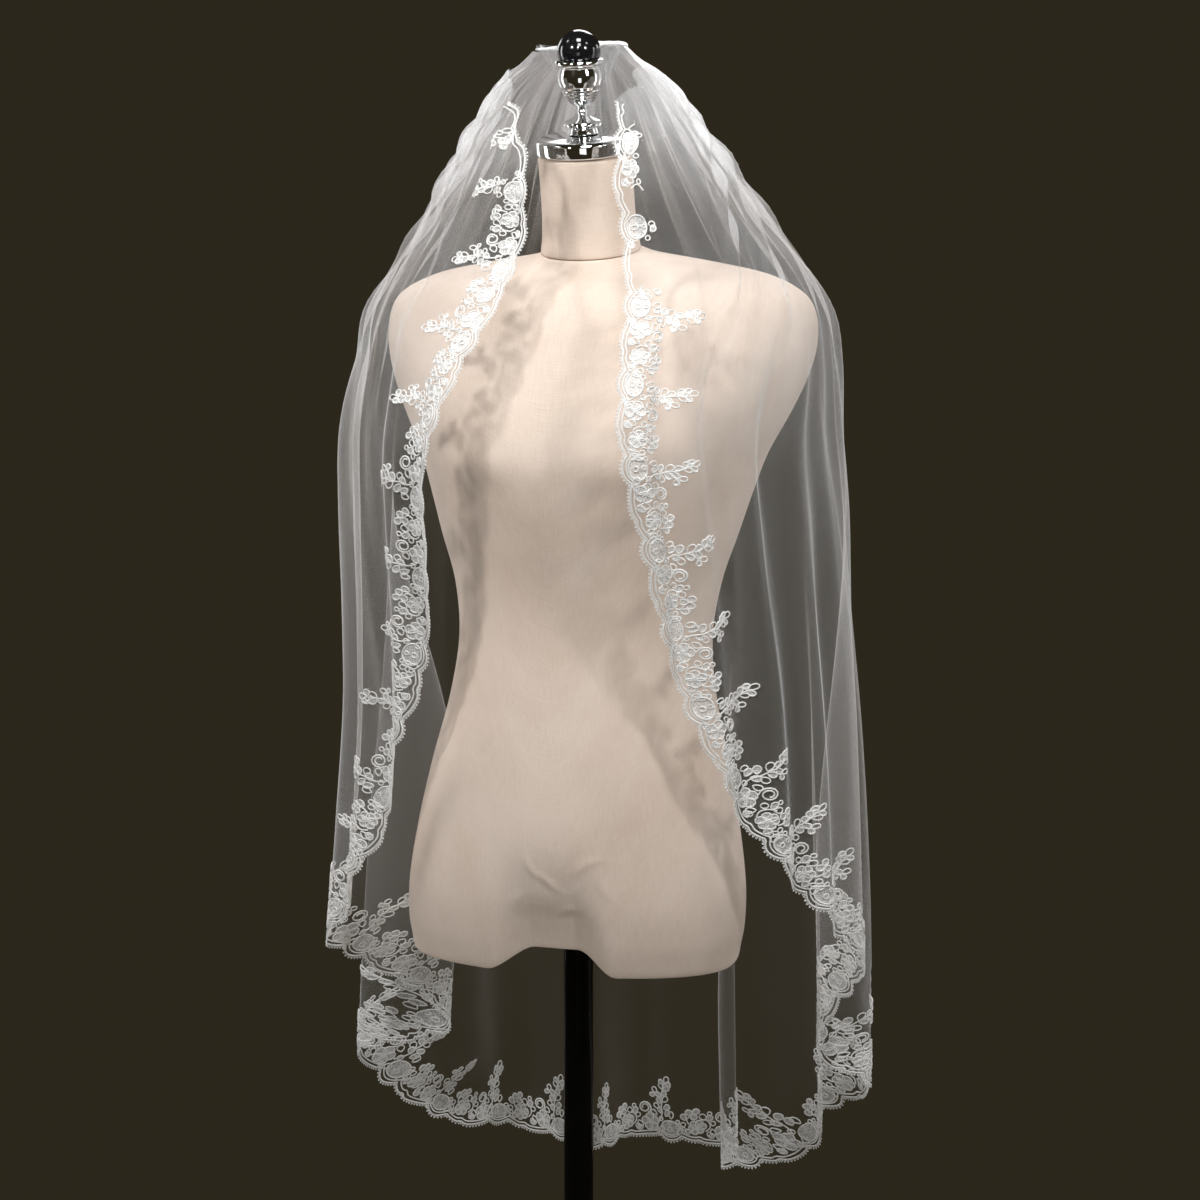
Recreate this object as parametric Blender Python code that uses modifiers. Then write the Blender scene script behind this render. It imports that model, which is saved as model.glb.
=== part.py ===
"""A bridal veil with a corded lace edge, on a limbless dress form and its stand.

Metres, +Z up. The form faces -Y. The origin is the middle of the stand's underside.
The veil is one tier of tulle, gathered to a comb behind the form's finial. It is open at
the front, falls over both shoulders and reaches to the fingertips at the back.
"""

import math

import bmesh
import bpy
import numpy as np
from mathutils import Matrix, Vector

# Driving sizes of the stand and the form
BASE_RADIUS = 0.150
BASE_THICKNESS = 0.014
COLLAR_RADIUS = 0.024
COLLAR_TOP = 0.060
POLE_RADIUS = 0.0138
SEAM_GAP = 0.0003
FORM_BOTTOM = 0.749
ARCH_MIDDLE = 0.005
ARCH_RISE = 0.020
ARCH_FLAT = 0.0195
ARCH_SPAN = 0.062
ARCH_TOP = 0.870
ARCH_HOLLOW = 0.018
POLE_TOP = FORM_BOTTOM + ARCH_RISE - SEAM_GAP
FORM_SIDES = 48
FORM_SQUARENESS = 2.2
BUST_RISE = 0.016
BUST_SPREAD = 0.073
BUST_HEIGHT = 1.225
BUST_SIZE = 0.048

# The neck, its cap and the finial stand on one axis that leans forward
NECK_FOOT = (0.0, 0.038, 1.3985)
NECK_LEAN = math.radians(11.0)
NECK_LENGTH = 0.090
NECK_RADIUS = 0.0425
CAP_HEIGHT = 0.0155
CAP_RADIUS = 0.0443
STEM_HEIGHT = 0.0680
BALL_RADIUS = 0.0198
BALL_SUNK = 0.25
BALL_STEPS = 7

# The comb hooks in under the finial's collar. Its teeth close on the cup below.
CUP_RADIUS = 0.0205
CUP_DROP = 0.0220
TOOTH_COUNT = 16
TOOTH_RADIUS = 0.0009
TOOTH_TAPER = 1.3
TOOTH_CLEARANCE = 1.35
TOOTH_SIDES = 6
COMB_STEPS = 24
BAR_INNER = 0.0360
BAR_OUTER = 0.0395
BAR_DEPTH = 0.0045
HEADING_MIDDLE = 0.0408
HEADING_WIDTH = 0.0046
HEADING_RISE = 0.0048
HEADING_GATHERS = 44
HEADING_RIB = 0.0006

# Driving sizes of the veil
TULLE_WALL = 0.0010
LACE_WALL = 0.0016
SEAM_IN_LACE = 0.0008
COMB_HEIGHT = 1.583
COMB_SPREAD = 95.0
REPEAT_LENGTH = 0.076
LACE_WIDTH = 0.040
LACE_MIDDLE = 0.018
CLEAR_OF_SPRIGS = 0.012
SPRIG_REACH = 0.064
SCALLOP_DEPTH = 0.0065
WIDE_LOBE = 2.0 / 3.0
LEAF_RISE = 0.006
PLAIN_START = 0.020
LACE_GROWTH = 0.110
GATHER_COUNT = 34
GATHER_DEPTH = 0.0035
GATHER_START = 0.10
GATHER_FADE = 0.34
COLUMNS_PER_REPEAT = 3
LACE_COLUMNS_PER_REPEAT = 6

# Small steps used to find the cloth's slopes: along its edge, round its ring and up
EDGE_STEP = 0.006
SMALL_TURN = 0.05
SMALL_RISE = 0.0004

# The form's level sections, from the neck seam down. Each has its height, half width, and
# the depths (y) of its widest place, its front and its back.
FORM_SECTIONS = (
    # height, half width, side y, front y, back y
    (1.3982, 0.0465, 0.038, -0.0085, 0.0845),
    (1.390, 0.066, 0.044, -0.014, 0.095),
    (1.382, 0.114, 0.056, -0.022, 0.108),
    (1.373, 0.161, 0.066, -0.030, 0.118),
    (1.360, 0.191, 0.071, -0.038, 0.126),
    (1.343, 0.203, 0.073, -0.048, 0.132),
    (1.318, 0.205, 0.072, -0.059, 0.137),
    (1.290, 0.199, 0.069, -0.070, 0.139),
    (1.255, 0.184, 0.063, -0.081, 0.137),
    (1.215, 0.163, 0.055, -0.088, 0.131),
    (1.180, 0.151, 0.048, -0.086, 0.122),
    (1.140, 0.139, 0.040, -0.080, 0.111),
    (1.095, 0.125, 0.034, -0.073, 0.100),
    (1.045, 0.119, 0.026, -0.073, 0.092),
    (0.990, 0.125, 0.016, -0.082, 0.100),
    (0.930, 0.139, 0.005, -0.095, 0.114),
    (0.870, 0.151, -0.004, -0.103, 0.124),
    (0.820, 0.158, -0.010, -0.106, 0.126),
    (0.785, 0.1585, -0.013, -0.104, 0.121),
    (0.765, 0.1555, -0.014, -0.101, 0.116),
    (0.753, 0.1530, -0.014, -0.098, 0.112),
)
NECK_TILT_LAST = 1.345
UNDERSIDE_RINGS = (0.97, 0.84, 0.64, 0.46, 0.30, 0.18, 0.09)

# The veil's level rings: the distance of the widest place behind the pole, and how far the
# cloth reaches from there to the left, right, front and back before it is folded.
VEIL_RINGS = (
    # height, side y, left, right, front, back
    (1.585, 0.004, 0.041, 0.041, 0.036, 0.041),
    (1.550, 0.018, 0.078, 0.080, 0.066, 0.052),
    (1.510, 0.033, 0.106, 0.107, 0.096, 0.052),
    (1.455, 0.045, 0.140, 0.145, 0.122, 0.060),
    (1.413, 0.054, 0.168, 0.174, 0.133, 0.070),
    (1.378, 0.061, 0.195, 0.200, 0.156, 0.080),
    (1.345, 0.063, 0.214, 0.217, 0.182, 0.092),
    (1.300, 0.062, 0.221, 0.225, 0.211, 0.099),
    (1.235, 0.058, 0.230, 0.230, 0.229, 0.108),
    (1.160, 0.055, 0.236, 0.240, 0.213, 0.123),
    (1.070, 0.052, 0.240, 0.249, 0.188, 0.138),
    (0.980, 0.050, 0.242, 0.257, 0.176, 0.150),
    (0.860, 0.050, 0.252, 0.264, 0.174, 0.160),
    (0.750, 0.050, 0.262, 0.268, 0.176, 0.168),
    (0.600, 0.050, 0.272, 0.268, 0.180, 0.180),
    (0.480, 0.050, 0.272, 0.268, 0.180, 0.188),
)

# The cut edge of the veil, from the left end of the comb round the back to its right end.
# Each point has its place round the ring, in degrees from the middle of the back (right is
# positive), and its height.
EDGE_POINTS = (
    # degrees, height
    (-120.0, 1.565),
    (-151.0, 1.540),
    (-168.0, 1.490),
    (-174.0, 1.431),
    (-172.5, 1.368),
    (-167.5, 1.308),
    (-162.5, 1.251),
    (-158.5, 1.195),
    (-158.0, 1.138),
    (-156.0, 1.064),
    (-151.0, 0.992),
    (-143.0, 0.914),
    (-134.0, 0.836),
    (-116.0, 0.758),
    (-98.0, 0.700),
    (-82.0, 0.640),
    (-66.0, 0.592),
    (-57.0, 0.540),
    (-47.0, 0.510),
    (-37.0, 0.508),
    (-25.0, 0.496),
    (-12.0, 0.496),
    (6.0, 0.497),
    (28.0, 0.491),
    (38.0, 0.506),
    (47.0, 0.548),
    (58.0, 0.585),
    (67.0, 0.610),
    (80.0, 0.648),
    (89.0, 0.706),
    (98.0, 0.756),
    (110.0, 0.793),
    (130.0, 0.864),
    (145.0, 0.956),
    (153.5, 1.055),
    (156.5, 1.136),
    (159.0, 1.215),
    (160.5, 1.290),
    (161.0, 1.350),
    (160.5, 1.410),
    (157.0, 1.478),
    (147.0, 1.536),
    (118.0, 1.565),
)

# The folds that the cloth falls in, each an inward trough. The two half widths are in
# degrees towards the left edge and towards the right edge. The lean, in degrees, turns the
# trough's floor one way and the next crest the other way, so that the fold laps.
FOLDS = (
    # middle, left half, right half, depth, lean, lean side, starts, full
    (-82.0, 30.0, 15.0, 0.100, 9.0, 1.0, 1.27, 0.80),
    (80.0, 14.0, 17.0, 0.055, -4.0, -1.0, 1.25, 0.78),
    (-13.0, 14.0, 14.0, 0.054, 2.0, 1.0, 1.25, 0.62),
    (27.0, 12.0, 12.0, 0.052, -2.0, -1.0, 1.22, 0.62),
    (-40.0, 9.0, 9.0, 0.020, 0.0, 1.0, 1.30, 0.70),
    (50.0, 8.0, 8.0, 0.020, 0.0, 1.0, 1.30, 0.80),
    (-104.0, 7.0, 7.0, 0.010, 0.0, 1.0, 1.28, 0.90),
    (-122.0, 7.0, 8.0, 0.012, 0.0, 1.0, 1.50, 1.20),
    (-139.0, 8.0, 8.0, 0.014, 0.0, 1.0, 1.50, 1.25),
    (-154.0, 6.0, 7.0, 0.010, 0.0, 1.0, 1.46, 1.25),
    (106.0, 6.0, 7.0, 0.012, 0.0, 1.0, 1.28, 1.05),
    (121.0, 7.0, 6.0, 0.014, 0.0, 1.0, 1.50, 1.15),
    (136.0, 7.0, 7.0, 0.014, 0.0, 1.0, 1.52, 1.25),
    (150.0, 5.0, 5.0, 0.010, 0.0, 1.0, 1.52, 1.25),
    (6.0, 5.0, 5.0, 0.010, 0.0, 1.0, 1.30, 0.90),
)

# A fall line goes straight to the edge where it is short. Where it is long it spreads first
# and then hangs.
SHORT_DROP = 0.15
LONG_DROP = 0.65

# The rows of the tulle's wall, as shares of each fall line from the comb to the lace
ROW_PLACES = (0.0, 0.035, 0.08, 0.13, 0.18, 0.235, 0.31, 0.42, 0.56, 0.71, 0.86, 1.0)


def smooth_step(value):
    value = np.clip(value, 0.0, 1.0)
    return value * value * (3.0 - 2.0 * value)


def signed_power(value, power):
    return np.sign(value) * np.abs(value) ** power


def column(table, index):
    return np.array([row[index] for row in table])


def smooth_table(keys, values, at):
    """Values between a table's rows on a curve that passes through each row."""
    slopes = np.gradient(values, keys)
    steps = np.diff(keys)
    place = np.clip(np.searchsorted(keys, at) - 1, 0, len(keys) - 2)
    step = steps[place]
    part = np.clip((at - keys[place]) / step, 0.0, 1.0)
    squared = part * part
    cubed = squared * part
    start = (2.0 * cubed - 3.0 * squared + 1.0) * values[place]
    start_slope = (cubed - 2.0 * squared + part) * step * slopes[place]
    end = (3.0 * squared - 2.0 * cubed) * values[place + 1]
    end_slope = (cubed - squared) * step * slopes[place + 1]
    return start + start_slope + end + end_slope


def ring_size(height, index):
    rows = VEIL_RINGS[::-1]
    return smooth_table(column(rows, 0), column(rows, index), height)


def fold_growth(height, starts, full):
    return smooth_step((starts - height) / (starts - full))


def veil_point(turn, height, folded=True):
    """The tulle's middle surface: a place round the ring in degrees, at a height."""
    leaned = turn.copy()
    inward = np.zeros_like(turn)
    for fold in FOLDS if folded else ():
        middle, left_half, right_half, depth, lean, side, starts, full = fold
        grown = fold_growth(height, starts, full)
        across = turn - middle
        half = np.where(across < 0.0, left_half, right_half)
        trough = (1.0 - np.clip(np.abs(across) / half, 0.0, 1.0) ** 2) ** 2
        near = right_half if side > 0 else left_half
        crest = 1.0 - np.clip(np.abs(across - side * near) / near, 0.0, 1.0) ** 2
        leaned = leaned + lean * grown * (trough - crest ** 2)
        inward = inward + depth * grown * trough
    if folded:
        below_comb = COMB_HEIGHT - height
        fading = np.exp(-((below_comb / GATHER_FADE) ** 2))
        gathered = smooth_step(below_comb / GATHER_START) * fading
        inward = inward + GATHER_DEPTH * gathered * np.cos(np.radians(turn) * GATHER_COUNT)
    angle = np.radians(leaned)
    power = 2.0 / FORM_SQUARENESS
    across = signed_power(np.sin(angle), power)
    along = signed_power(np.cos(angle), power)
    side_y = ring_size(height, 1)
    x = across * np.where(across < 0.0, ring_size(height, 2), ring_size(height, 3))
    y = along * np.where(along < 0.0, ring_size(height, 4), ring_size(height, 5))
    reach = np.hypot(x, y)
    kept = 1.0 - inward / reach
    return np.stack([x * kept, side_y + y * kept, height], axis=-1)


def veil_edge(samples=2400):
    """Fine points along the cut edge: ring place, height and length run so far."""
    turns = column(EDGE_POINTS, 0)
    heights = column(EDGE_POINTS, 1)
    keys = np.arange(len(EDGE_POINTS), dtype=float)
    at = np.linspace(0.0, keys[-1], samples)
    turn = smooth_table(keys, turns, at)
    height = smooth_table(keys, heights, at)
    points = veil_point(turn, height)
    runs = np.linalg.norm(np.diff(points, axis=0), axis=1)
    return turn, height, np.concatenate([[0.0], np.cumsum(runs)])


def inward_from_edge(runs, distance, steps=16):
    """Walks from lengths along the cut edge over the cloth, square to it, by a distance.

    The walk is taken on the cloth before its folds, so that no two walks meet in a fold.
    """
    turns, heights, lengths = EDGE
    turn = np.interp(runs, lengths, turns)
    height = np.interp(runs, lengths, heights)
    near = []
    for shift in (-EDGE_STEP, EDGE_STEP):
        near_turn = np.interp(runs + shift, lengths, turns)
        near_height = np.interp(runs + shift, lengths, heights)
        near.append(veil_point(near_turn, near_height, False))
    along = near[1] - near[0]
    along = along / np.linalg.norm(along, axis=1, keepdims=True)
    heading = None
    for _ in range(steps):
        here = veil_point(turn, height, False)
        by_turn = (veil_point(turn + SMALL_TURN, height, False) - here) / SMALL_TURN
        by_height = (veil_point(turn, height + SMALL_RISE, False) - here) / SMALL_RISE
        normal = np.cross(by_turn, by_height)
        normal = normal / np.linalg.norm(normal, axis=1, keepdims=True)
        if heading is None:
            heading = np.cross(normal, along)
        heading = heading - normal * np.sum(heading * normal, axis=1, keepdims=True)
        heading = heading / np.linalg.norm(heading, axis=1, keepdims=True)
        tt = np.sum(by_turn * by_turn, axis=1)
        th = np.sum(by_turn * by_height, axis=1)
        hh = np.sum(by_height * by_height, axis=1)
        to_turn = np.sum(heading * by_turn, axis=1)
        to_height = np.sum(heading * by_height, axis=1)
        area = tt * hh - th * th
        step = distance / steps
        turn = turn + step * (hh * to_turn - th * to_height) / area
        height = height + step * (tt * to_height - th * to_turn) / area
    return turn, height


def make_material(name, color, roughness, metallic=0.0):
    material = bpy.data.materials.new(name)
    material.use_nodes = True
    shader = material.node_tree.nodes["Principled BSDF"]
    shader.inputs["Base Color"].default_value = (*color, 1.0)
    shader.inputs["Roughness"].default_value = roughness
    shader.inputs["Metallic"].default_value = metallic
    material.diffuse_color = (*color, 1.0)
    return material


def new_object(name, mesh, material):
    obj = bpy.data.objects.new(name, mesh)
    obj.data.materials.append(material)
    PARTS.objects.link(obj)
    return obj


def shade(obj, degrees=40.0):
    obj.data.shade_smooth()
    obj.data.set_sharp_from_angle(angle=math.radians(degrees))


def turned(name, profile, material, sides, foot=(0.0, 0.0, 0.0), lean=0.0):
    """A turned piece from an outer profile of (radius, height), top to bottom."""
    mesh = bpy.data.meshes.new(name)
    points = [(radius, 0.0, height) for radius, height in profile]
    links = [(i, i + 1) for i in range(len(points) - 1)]
    mesh.from_pydata(points, links, [])
    obj = new_object(name, mesh, material)
    screw = obj.modifiers.new("Turn", "SCREW")
    screw.axis = "Z"
    screw.angle = math.radians(360.0)
    screw.steps = sides
    screw.render_steps = sides
    screw.use_merge_vertices = True
    screw.merge_threshold = 0.00005
    screw.use_smooth_shade = True
    obj.location = foot
    obj.rotation_euler = (lean, 0.0, 0.0)
    return obj


def on_neck_axis(distance):
    """The point at a distance up the leaning neck axis."""
    return (
        NECK_FOOT[0],
        NECK_FOOT[1] - distance * math.sin(NECK_LEAN),
        NECK_FOOT[2] + distance * math.cos(NECK_LEAN),
    )


def make_stand(black):
    base_profile = (
        (0.0, BASE_THICKNESS),
        (BASE_RADIUS - 0.006, BASE_THICKNESS),
        (BASE_RADIUS, BASE_THICKNESS - 0.005),
        (BASE_RADIUS, 0.0),
        (0.0, 0.0),
    )
    turned("stand_base", base_profile, black, 64)
    collar_bottom = BASE_THICKNESS + SEAM_GAP
    hole = POLE_RADIUS + SEAM_GAP
    collar_profile = (
        (hole, COLLAR_TOP),
        (COLLAR_RADIUS - 0.004, COLLAR_TOP),
        (COLLAR_RADIUS, COLLAR_TOP - 0.008),
        (COLLAR_RADIUS + 0.006, collar_bottom),
        (hole, collar_bottom),
        (hole, COLLAR_TOP),
    )
    turned("stand_collar", collar_profile, black, 32)
    length = POLE_TOP - collar_bottom
    bpy.ops.mesh.primitive_cylinder_add(
        vertices=32,
        radius=POLE_RADIUS,
        depth=length,
        location=(0.0, 0.0, collar_bottom + length / 2.0),
    )
    pole = bpy.context.object
    pole.name = "stand_pole"
    pole.data.materials.append(black)
    for collection in list(pole.users_collection):
        collection.objects.unlink(pole)
    PARTS.objects.link(pole)
    shade(pole)


def arch_share(x):
    """The arch between the form's two low lobes: 1 over the pole, and 0 on the lobes."""
    aside = (abs(x - ARCH_MIDDLE) - ARCH_FLAT) / (ARCH_SPAN - ARCH_FLAT)
    return 1.0 - float(smooth_step(aside))


def form_ring(section):
    """Points round one level section of the form, from the right side by the front."""
    height, half_width, side_y, front_y, back_y = section
    points = []
    power = 2.0 / FORM_SQUARENESS
    tilt = smooth_step((height - NECK_TILT_LAST) / (FORM_SECTIONS[0][0] - NECK_TILT_LAST))
    for number in range(FORM_SIDES):
        angle = 2.0 * math.pi * number / FORM_SIDES
        x = half_width * float(signed_power(math.cos(angle), power))
        swing = float(signed_power(math.sin(angle), power))
        y = side_y + swing * (side_y - front_y if swing < 0.0 else back_y - side_y)
        if swing < 0.0:
            aside = (abs(x) - BUST_SPREAD) / BUST_SIZE
            above = (height - BUST_HEIGHT) / BUST_SIZE
            y -= BUST_RISE * math.exp(-aside * aside - above * above)
        arched = float(smooth_step((ARCH_TOP - height) / (ARCH_TOP - FORM_SECTIONS[-1][0])))
        arched *= arch_share(x)
        if swing < 0.0:
            y += ARCH_HOLLOW * arched
        z = height + float(tilt) * math.tan(NECK_LEAN) * (y - NECK_FOOT[1]) + ARCH_RISE * arched
        points.append((x, y, z))
    return points


def underside_height(x):
    """The form's underside: level on two lobes, with an arch between them for the pole."""
    return FORM_BOTTOM + ARCH_RISE * arch_share(x)


def make_torso(linen):
    mesh = bmesh.new()
    rings = []
    for section in FORM_SECTIONS:
        rings.append([mesh.verts.new(point) for point in form_ring(section)])
    lowest = form_ring(FORM_SECTIONS[-1])
    side_y = FORM_SECTIONS[-1][2]
    for share in UNDERSIDE_RINGS:
        ring = []
        for x, y, _ in lowest:
            inner_x = x * share
            inner_y = side_y + (y - side_y) * share
            ring.append(mesh.verts.new((inner_x, inner_y, underside_height(inner_x))))
        rings.append(ring)
    for upper, lower in zip(rings, rings[1:]):
        for number in range(FORM_SIDES):
            after = (number + 1) % FORM_SIDES
            mesh.faces.new((upper[number], upper[after], lower[after], lower[number]))
    top_middle = mesh.verts.new(NECK_FOOT[:2] + (FORM_SECTIONS[0][0],))
    bottom_middle = mesh.verts.new((0.0, side_y, FORM_BOTTOM + ARCH_RISE))
    for number in range(FORM_SIDES):
        after = (number + 1) % FORM_SIDES
        mesh.faces.new((top_middle, rings[0][after], rings[0][number]))
        mesh.faces.new((bottom_middle, rings[-1][number], rings[-1][after]))
    bmesh.ops.recalc_face_normals(mesh, faces=mesh.faces[:])
    data = bpy.data.meshes.new("form_torso")
    mesh.to_mesh(data)
    mesh.free()
    torso = new_object("form_torso", data, linen)
    shade(torso, 60.0)


def make_neck_and_finial(linen, chrome, black):
    neck_profile = (
        (0.0, NECK_LENGTH),
        (NECK_RADIUS + 0.0005, NECK_LENGTH),
        (NECK_RADIUS, NECK_LENGTH * 0.7),
        (NECK_RADIUS, NECK_LENGTH * 0.4),
        (NECK_RADIUS + 0.0015, NECK_LENGTH * 0.15),
        (NECK_RADIUS + 0.0035, 0.0),
        (0.0, 0.0),
    )
    turned("form_neck", neck_profile, linen, 40, NECK_FOOT, NECK_LEAN)
    cap_profile = (
        (0.0, CAP_HEIGHT + 0.0015),
        (CAP_RADIUS * 0.55, CAP_HEIGHT + 0.0008),
        (CAP_RADIUS - 0.003, CAP_HEIGHT - 0.001),
        (CAP_RADIUS - 0.0008, CAP_HEIGHT - 0.0028),
        (CAP_RADIUS, CAP_HEIGHT - 0.005),
        (CAP_RADIUS, 0.0),
        (0.0, 0.0),
    )
    cap_foot = NECK_LENGTH + SEAM_GAP
    turned("neck_cap", cap_profile, chrome, 40, on_neck_axis(cap_foot), NECK_LEAN)
    stem_profile = (
        (0.0, STEM_HEIGHT),
        (0.0170, STEM_HEIGHT),
        (0.0224, STEM_HEIGHT - 0.0012),
        (0.0234, STEM_HEIGHT - 0.0035),
        (0.0222, STEM_HEIGHT - 0.0060),
        (0.0184, STEM_HEIGHT - 0.0078),
        (0.0192, STEM_HEIGHT - 0.0104),
        (0.0205, STEM_HEIGHT - 0.0150),
        (0.0207, STEM_HEIGHT - 0.0200),
        (0.0196, STEM_HEIGHT - 0.0248),
        (0.0176, STEM_HEIGHT - 0.0288),
        (0.0160, STEM_HEIGHT - 0.0328),
        (0.0142, STEM_HEIGHT - 0.0356),
        (0.0106, STEM_HEIGHT - 0.0400),
        (0.0060, STEM_HEIGHT - 0.0435),
        (0.0042, STEM_HEIGHT - 0.0460),
        (0.0054, STEM_HEIGHT - 0.0480),
        (0.0046, STEM_HEIGHT - 0.0502),
        (0.0085, STEM_HEIGHT - 0.0528),
        (0.0126, STEM_HEIGHT - 0.0548),
        (0.0166, STEM_HEIGHT - 0.0568),
        (0.0180, STEM_HEIGHT - 0.0586),
        (0.0176, STEM_HEIGHT - 0.0608),
        (0.0132, STEM_HEIGHT - 0.0620),
        (0.0136, STEM_HEIGHT - 0.0650),
        (0.0146, 0.0),
        (0.0, 0.0),
    )
    stem_foot = cap_foot + CAP_HEIGHT + 0.0015 + SEAM_GAP
    turned("finial_stem", stem_profile, chrome, 28, on_neck_axis(stem_foot), NECK_LEAN)
    lowest = -BALL_RADIUS * BALL_SUNK
    ball_profile = [(0.0, BALL_RADIUS)]
    for number in range(1, BALL_STEPS + 1):
        angle = math.pi / 2.0 * number / BALL_STEPS
        ball_profile.append((BALL_RADIUS * math.sin(angle), BALL_RADIUS * math.cos(angle)))
    foot_radius = BALL_RADIUS * math.sqrt(1.0 - BALL_SUNK * BALL_SUNK)
    ball_profile.append((foot_radius, lowest))
    ball_profile.append((0.0, lowest))
    ball_middle = stem_foot + STEM_HEIGHT + SEAM_GAP - lowest
    turned("finial_ball", ball_profile, black, 28, on_neck_axis(ball_middle), NECK_LEAN)
    return stem_foot + STEM_HEIGHT


def swept_ring(mesh, section, steps, rib=0.0):
    """A closed tube of faces along the comb's arc, from a section of (radius, height).

    A rib makes every second ring narrower by that share and the others wider.
    """
    rings = []
    spread = math.radians(COMB_SPREAD)
    for number in range(steps + 1):
        angle = -spread + 2.0 * spread * number / steps
        swell = 1.0 + (rib if number % 2 else -rib)
        ring = []
        for radius, height in section:
            reach = HEADING_MIDDLE + (radius - HEADING_MIDDLE) * swell
            x = reach * math.sin(angle)
            y = VEIL_RINGS[0][1] + reach * math.cos(angle)
            ring.append(mesh.verts.new((x, y, height)))
        rings.append(ring)
    count = len(section)
    for first, second in zip(rings, rings[1:]):
        for number in range(count):
            after = (number + 1) % count
            mesh.faces.new((first[number], first[after], second[after], second[number]))
    mesh.faces.new(rings[0][::-1])
    mesh.faces.new(rings[-1])
    bmesh.ops.recalc_face_normals(mesh, faces=mesh.faces[:])


def make_comb(clear_plastic, tulle, collar_top):
    """The curved comb, and the tulle's gathered heading that is whipped over its bar."""
    bar_top = COMB_HEIGHT - SEAM_GAP
    bar_bottom = bar_top - BAR_DEPTH
    bar = bmesh.new()
    bar_section = (
        (BAR_INNER, bar_bottom),
        (BAR_OUTER, bar_bottom),
        (BAR_OUTER, bar_top),
        (BAR_INNER, bar_top),
    )
    swept_ring(bar, bar_section, COMB_STEPS)
    bar_mesh = bpy.data.meshes.new("comb")
    bar.to_mesh(bar_mesh)
    bar.free()
    comb = new_object("comb", bar_mesh, clear_plastic)
    teeth = bmesh.new()
    cup = on_neck_axis(collar_top - CUP_DROP)
    clear = CUP_RADIUS + SEAM_GAP + TOOTH_RADIUS * TOOTH_CLEARANCE
    for number in range(TOOTH_COUNT):
        share = (number + 0.5) / TOOTH_COUNT * 2.0 - 1.0
        angle = math.radians(COMB_SPREAD) * share
        middle = (BAR_INNER + BAR_OUTER) / 2.0
        root = Vector((middle * math.sin(angle), middle * math.cos(angle), 0.0))
        root += Vector((0.0, VEIL_RINGS[0][1], bar_bottom + BAR_DEPTH / 2.0))
        tip_back = clear * math.cos(angle) / math.cos(NECK_LEAN)
        tip = Vector((clear * math.sin(angle), tip_back, 0.0))
        tip += Vector((0.0, cup[1], cup[2]))
        run = root - tip
        turn = run.to_track_quat("Z", "Y").to_matrix().to_4x4()
        place = Matrix.Translation((root + tip) / 2.0) @ turn
        bmesh.ops.create_cone(
            teeth,
            cap_ends=True,
            segments=TOOTH_SIDES,
            radius1=TOOTH_RADIUS,
            radius2=TOOTH_RADIUS * TOOTH_TAPER,
            depth=run.length,
            matrix=place,
        )
    teeth_mesh = bpy.data.meshes.new("comb_teeth")
    teeth.to_mesh(teeth_mesh)
    teeth.free()
    tooth_set = bpy.data.objects.new("comb_teeth", teeth_mesh)
    CUTTERS.objects.link(tooth_set)
    tooth_set.hide_render = True
    tooth_set.display_type = "WIRE"
    union = comb.modifiers.new("Teeth", "BOOLEAN")
    union.operation = "UNION"
    union.object = tooth_set
    heading = bmesh.new()
    heading_bottom = COMB_HEIGHT + 2.0 * SEAM_GAP
    heading_section = (
        (HEADING_MIDDLE - HEADING_WIDTH, heading_bottom),
        (HEADING_MIDDLE + HEADING_WIDTH, heading_bottom),
        (HEADING_MIDDLE + HEADING_WIDTH * 0.8, heading_bottom + HEADING_RISE * 0.7),
        (HEADING_MIDDLE, heading_bottom + HEADING_RISE),
        (HEADING_MIDDLE - HEADING_WIDTH * 0.8, heading_bottom + HEADING_RISE * 0.7),
    )
    swept_ring(heading, heading_section, 2 * HEADING_GATHERS, HEADING_RIB / HEADING_WIDTH)
    heading_mesh = bpy.data.meshes.new("veil_heading")
    heading.to_mesh(heading_mesh)
    heading.free()
    new_object("veil_heading", heading_mesh, tulle)


def walled_sheet(name, rows, normals, wall, material):
    """One closed wall round a sheet of points, moved out and in along its own normals."""
    across = len(rows[0])
    down = len(rows)
    middle = np.array(rows).reshape(-1, 3)
    outward = np.array(normals).reshape(-1, 3) * wall / 2.0
    points = np.concatenate([middle + outward, middle - outward])
    inside = down * across
    faces = []
    for upper in range(down - 1):
        for number in range(across - 1):
            first = upper * across + number
            second = first + across
            for corner in ((first, second, second + 1), (first, second + 1, first + 1)):
                faces.append(corner)
                faces.append(tuple(inside + place for place in corner[::-1]))
    last = (down - 1) * across
    rim = list(range(across))
    rim += [row * across + across - 1 for row in range(1, down)]
    rim += [last + number for number in range(across - 2, -1, -1)]
    rim += [row * across for row in range(down - 2, 0, -1)]
    for place, following in zip(rim, rim[1:] + rim[:1]):
        faces.append((place, following, inside + following, inside + place))
    data = bpy.data.meshes.new(name)
    data.from_pydata([tuple(point) for point in points], [], faces)
    closed = bmesh.new()
    closed.from_mesh(data)
    bmesh.ops.recalc_face_normals(closed, faces=closed.faces[:])
    closed.to_mesh(data)
    closed.free()
    shade(new_object(name, data, material), 60.0)


def lace_growth(runs):
    """The lace starts a little way below each end of the comb and widens from nothing."""
    from_end = np.minimum(runs, EDGE_LENGTH - runs)
    return smooth_step((from_end - PLAIN_START) / LACE_GROWTH)


def evened(line, passes=6):
    """A line of values with each drawn towards its neighbours, and its ends kept."""
    for _ in range(passes):
        drawn = (line[:-2] + 2.0 * line[1:-1] + line[2:]) / 4.0
        line = np.concatenate([line[:1], drawn, line[-1:]])
    return line


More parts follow.
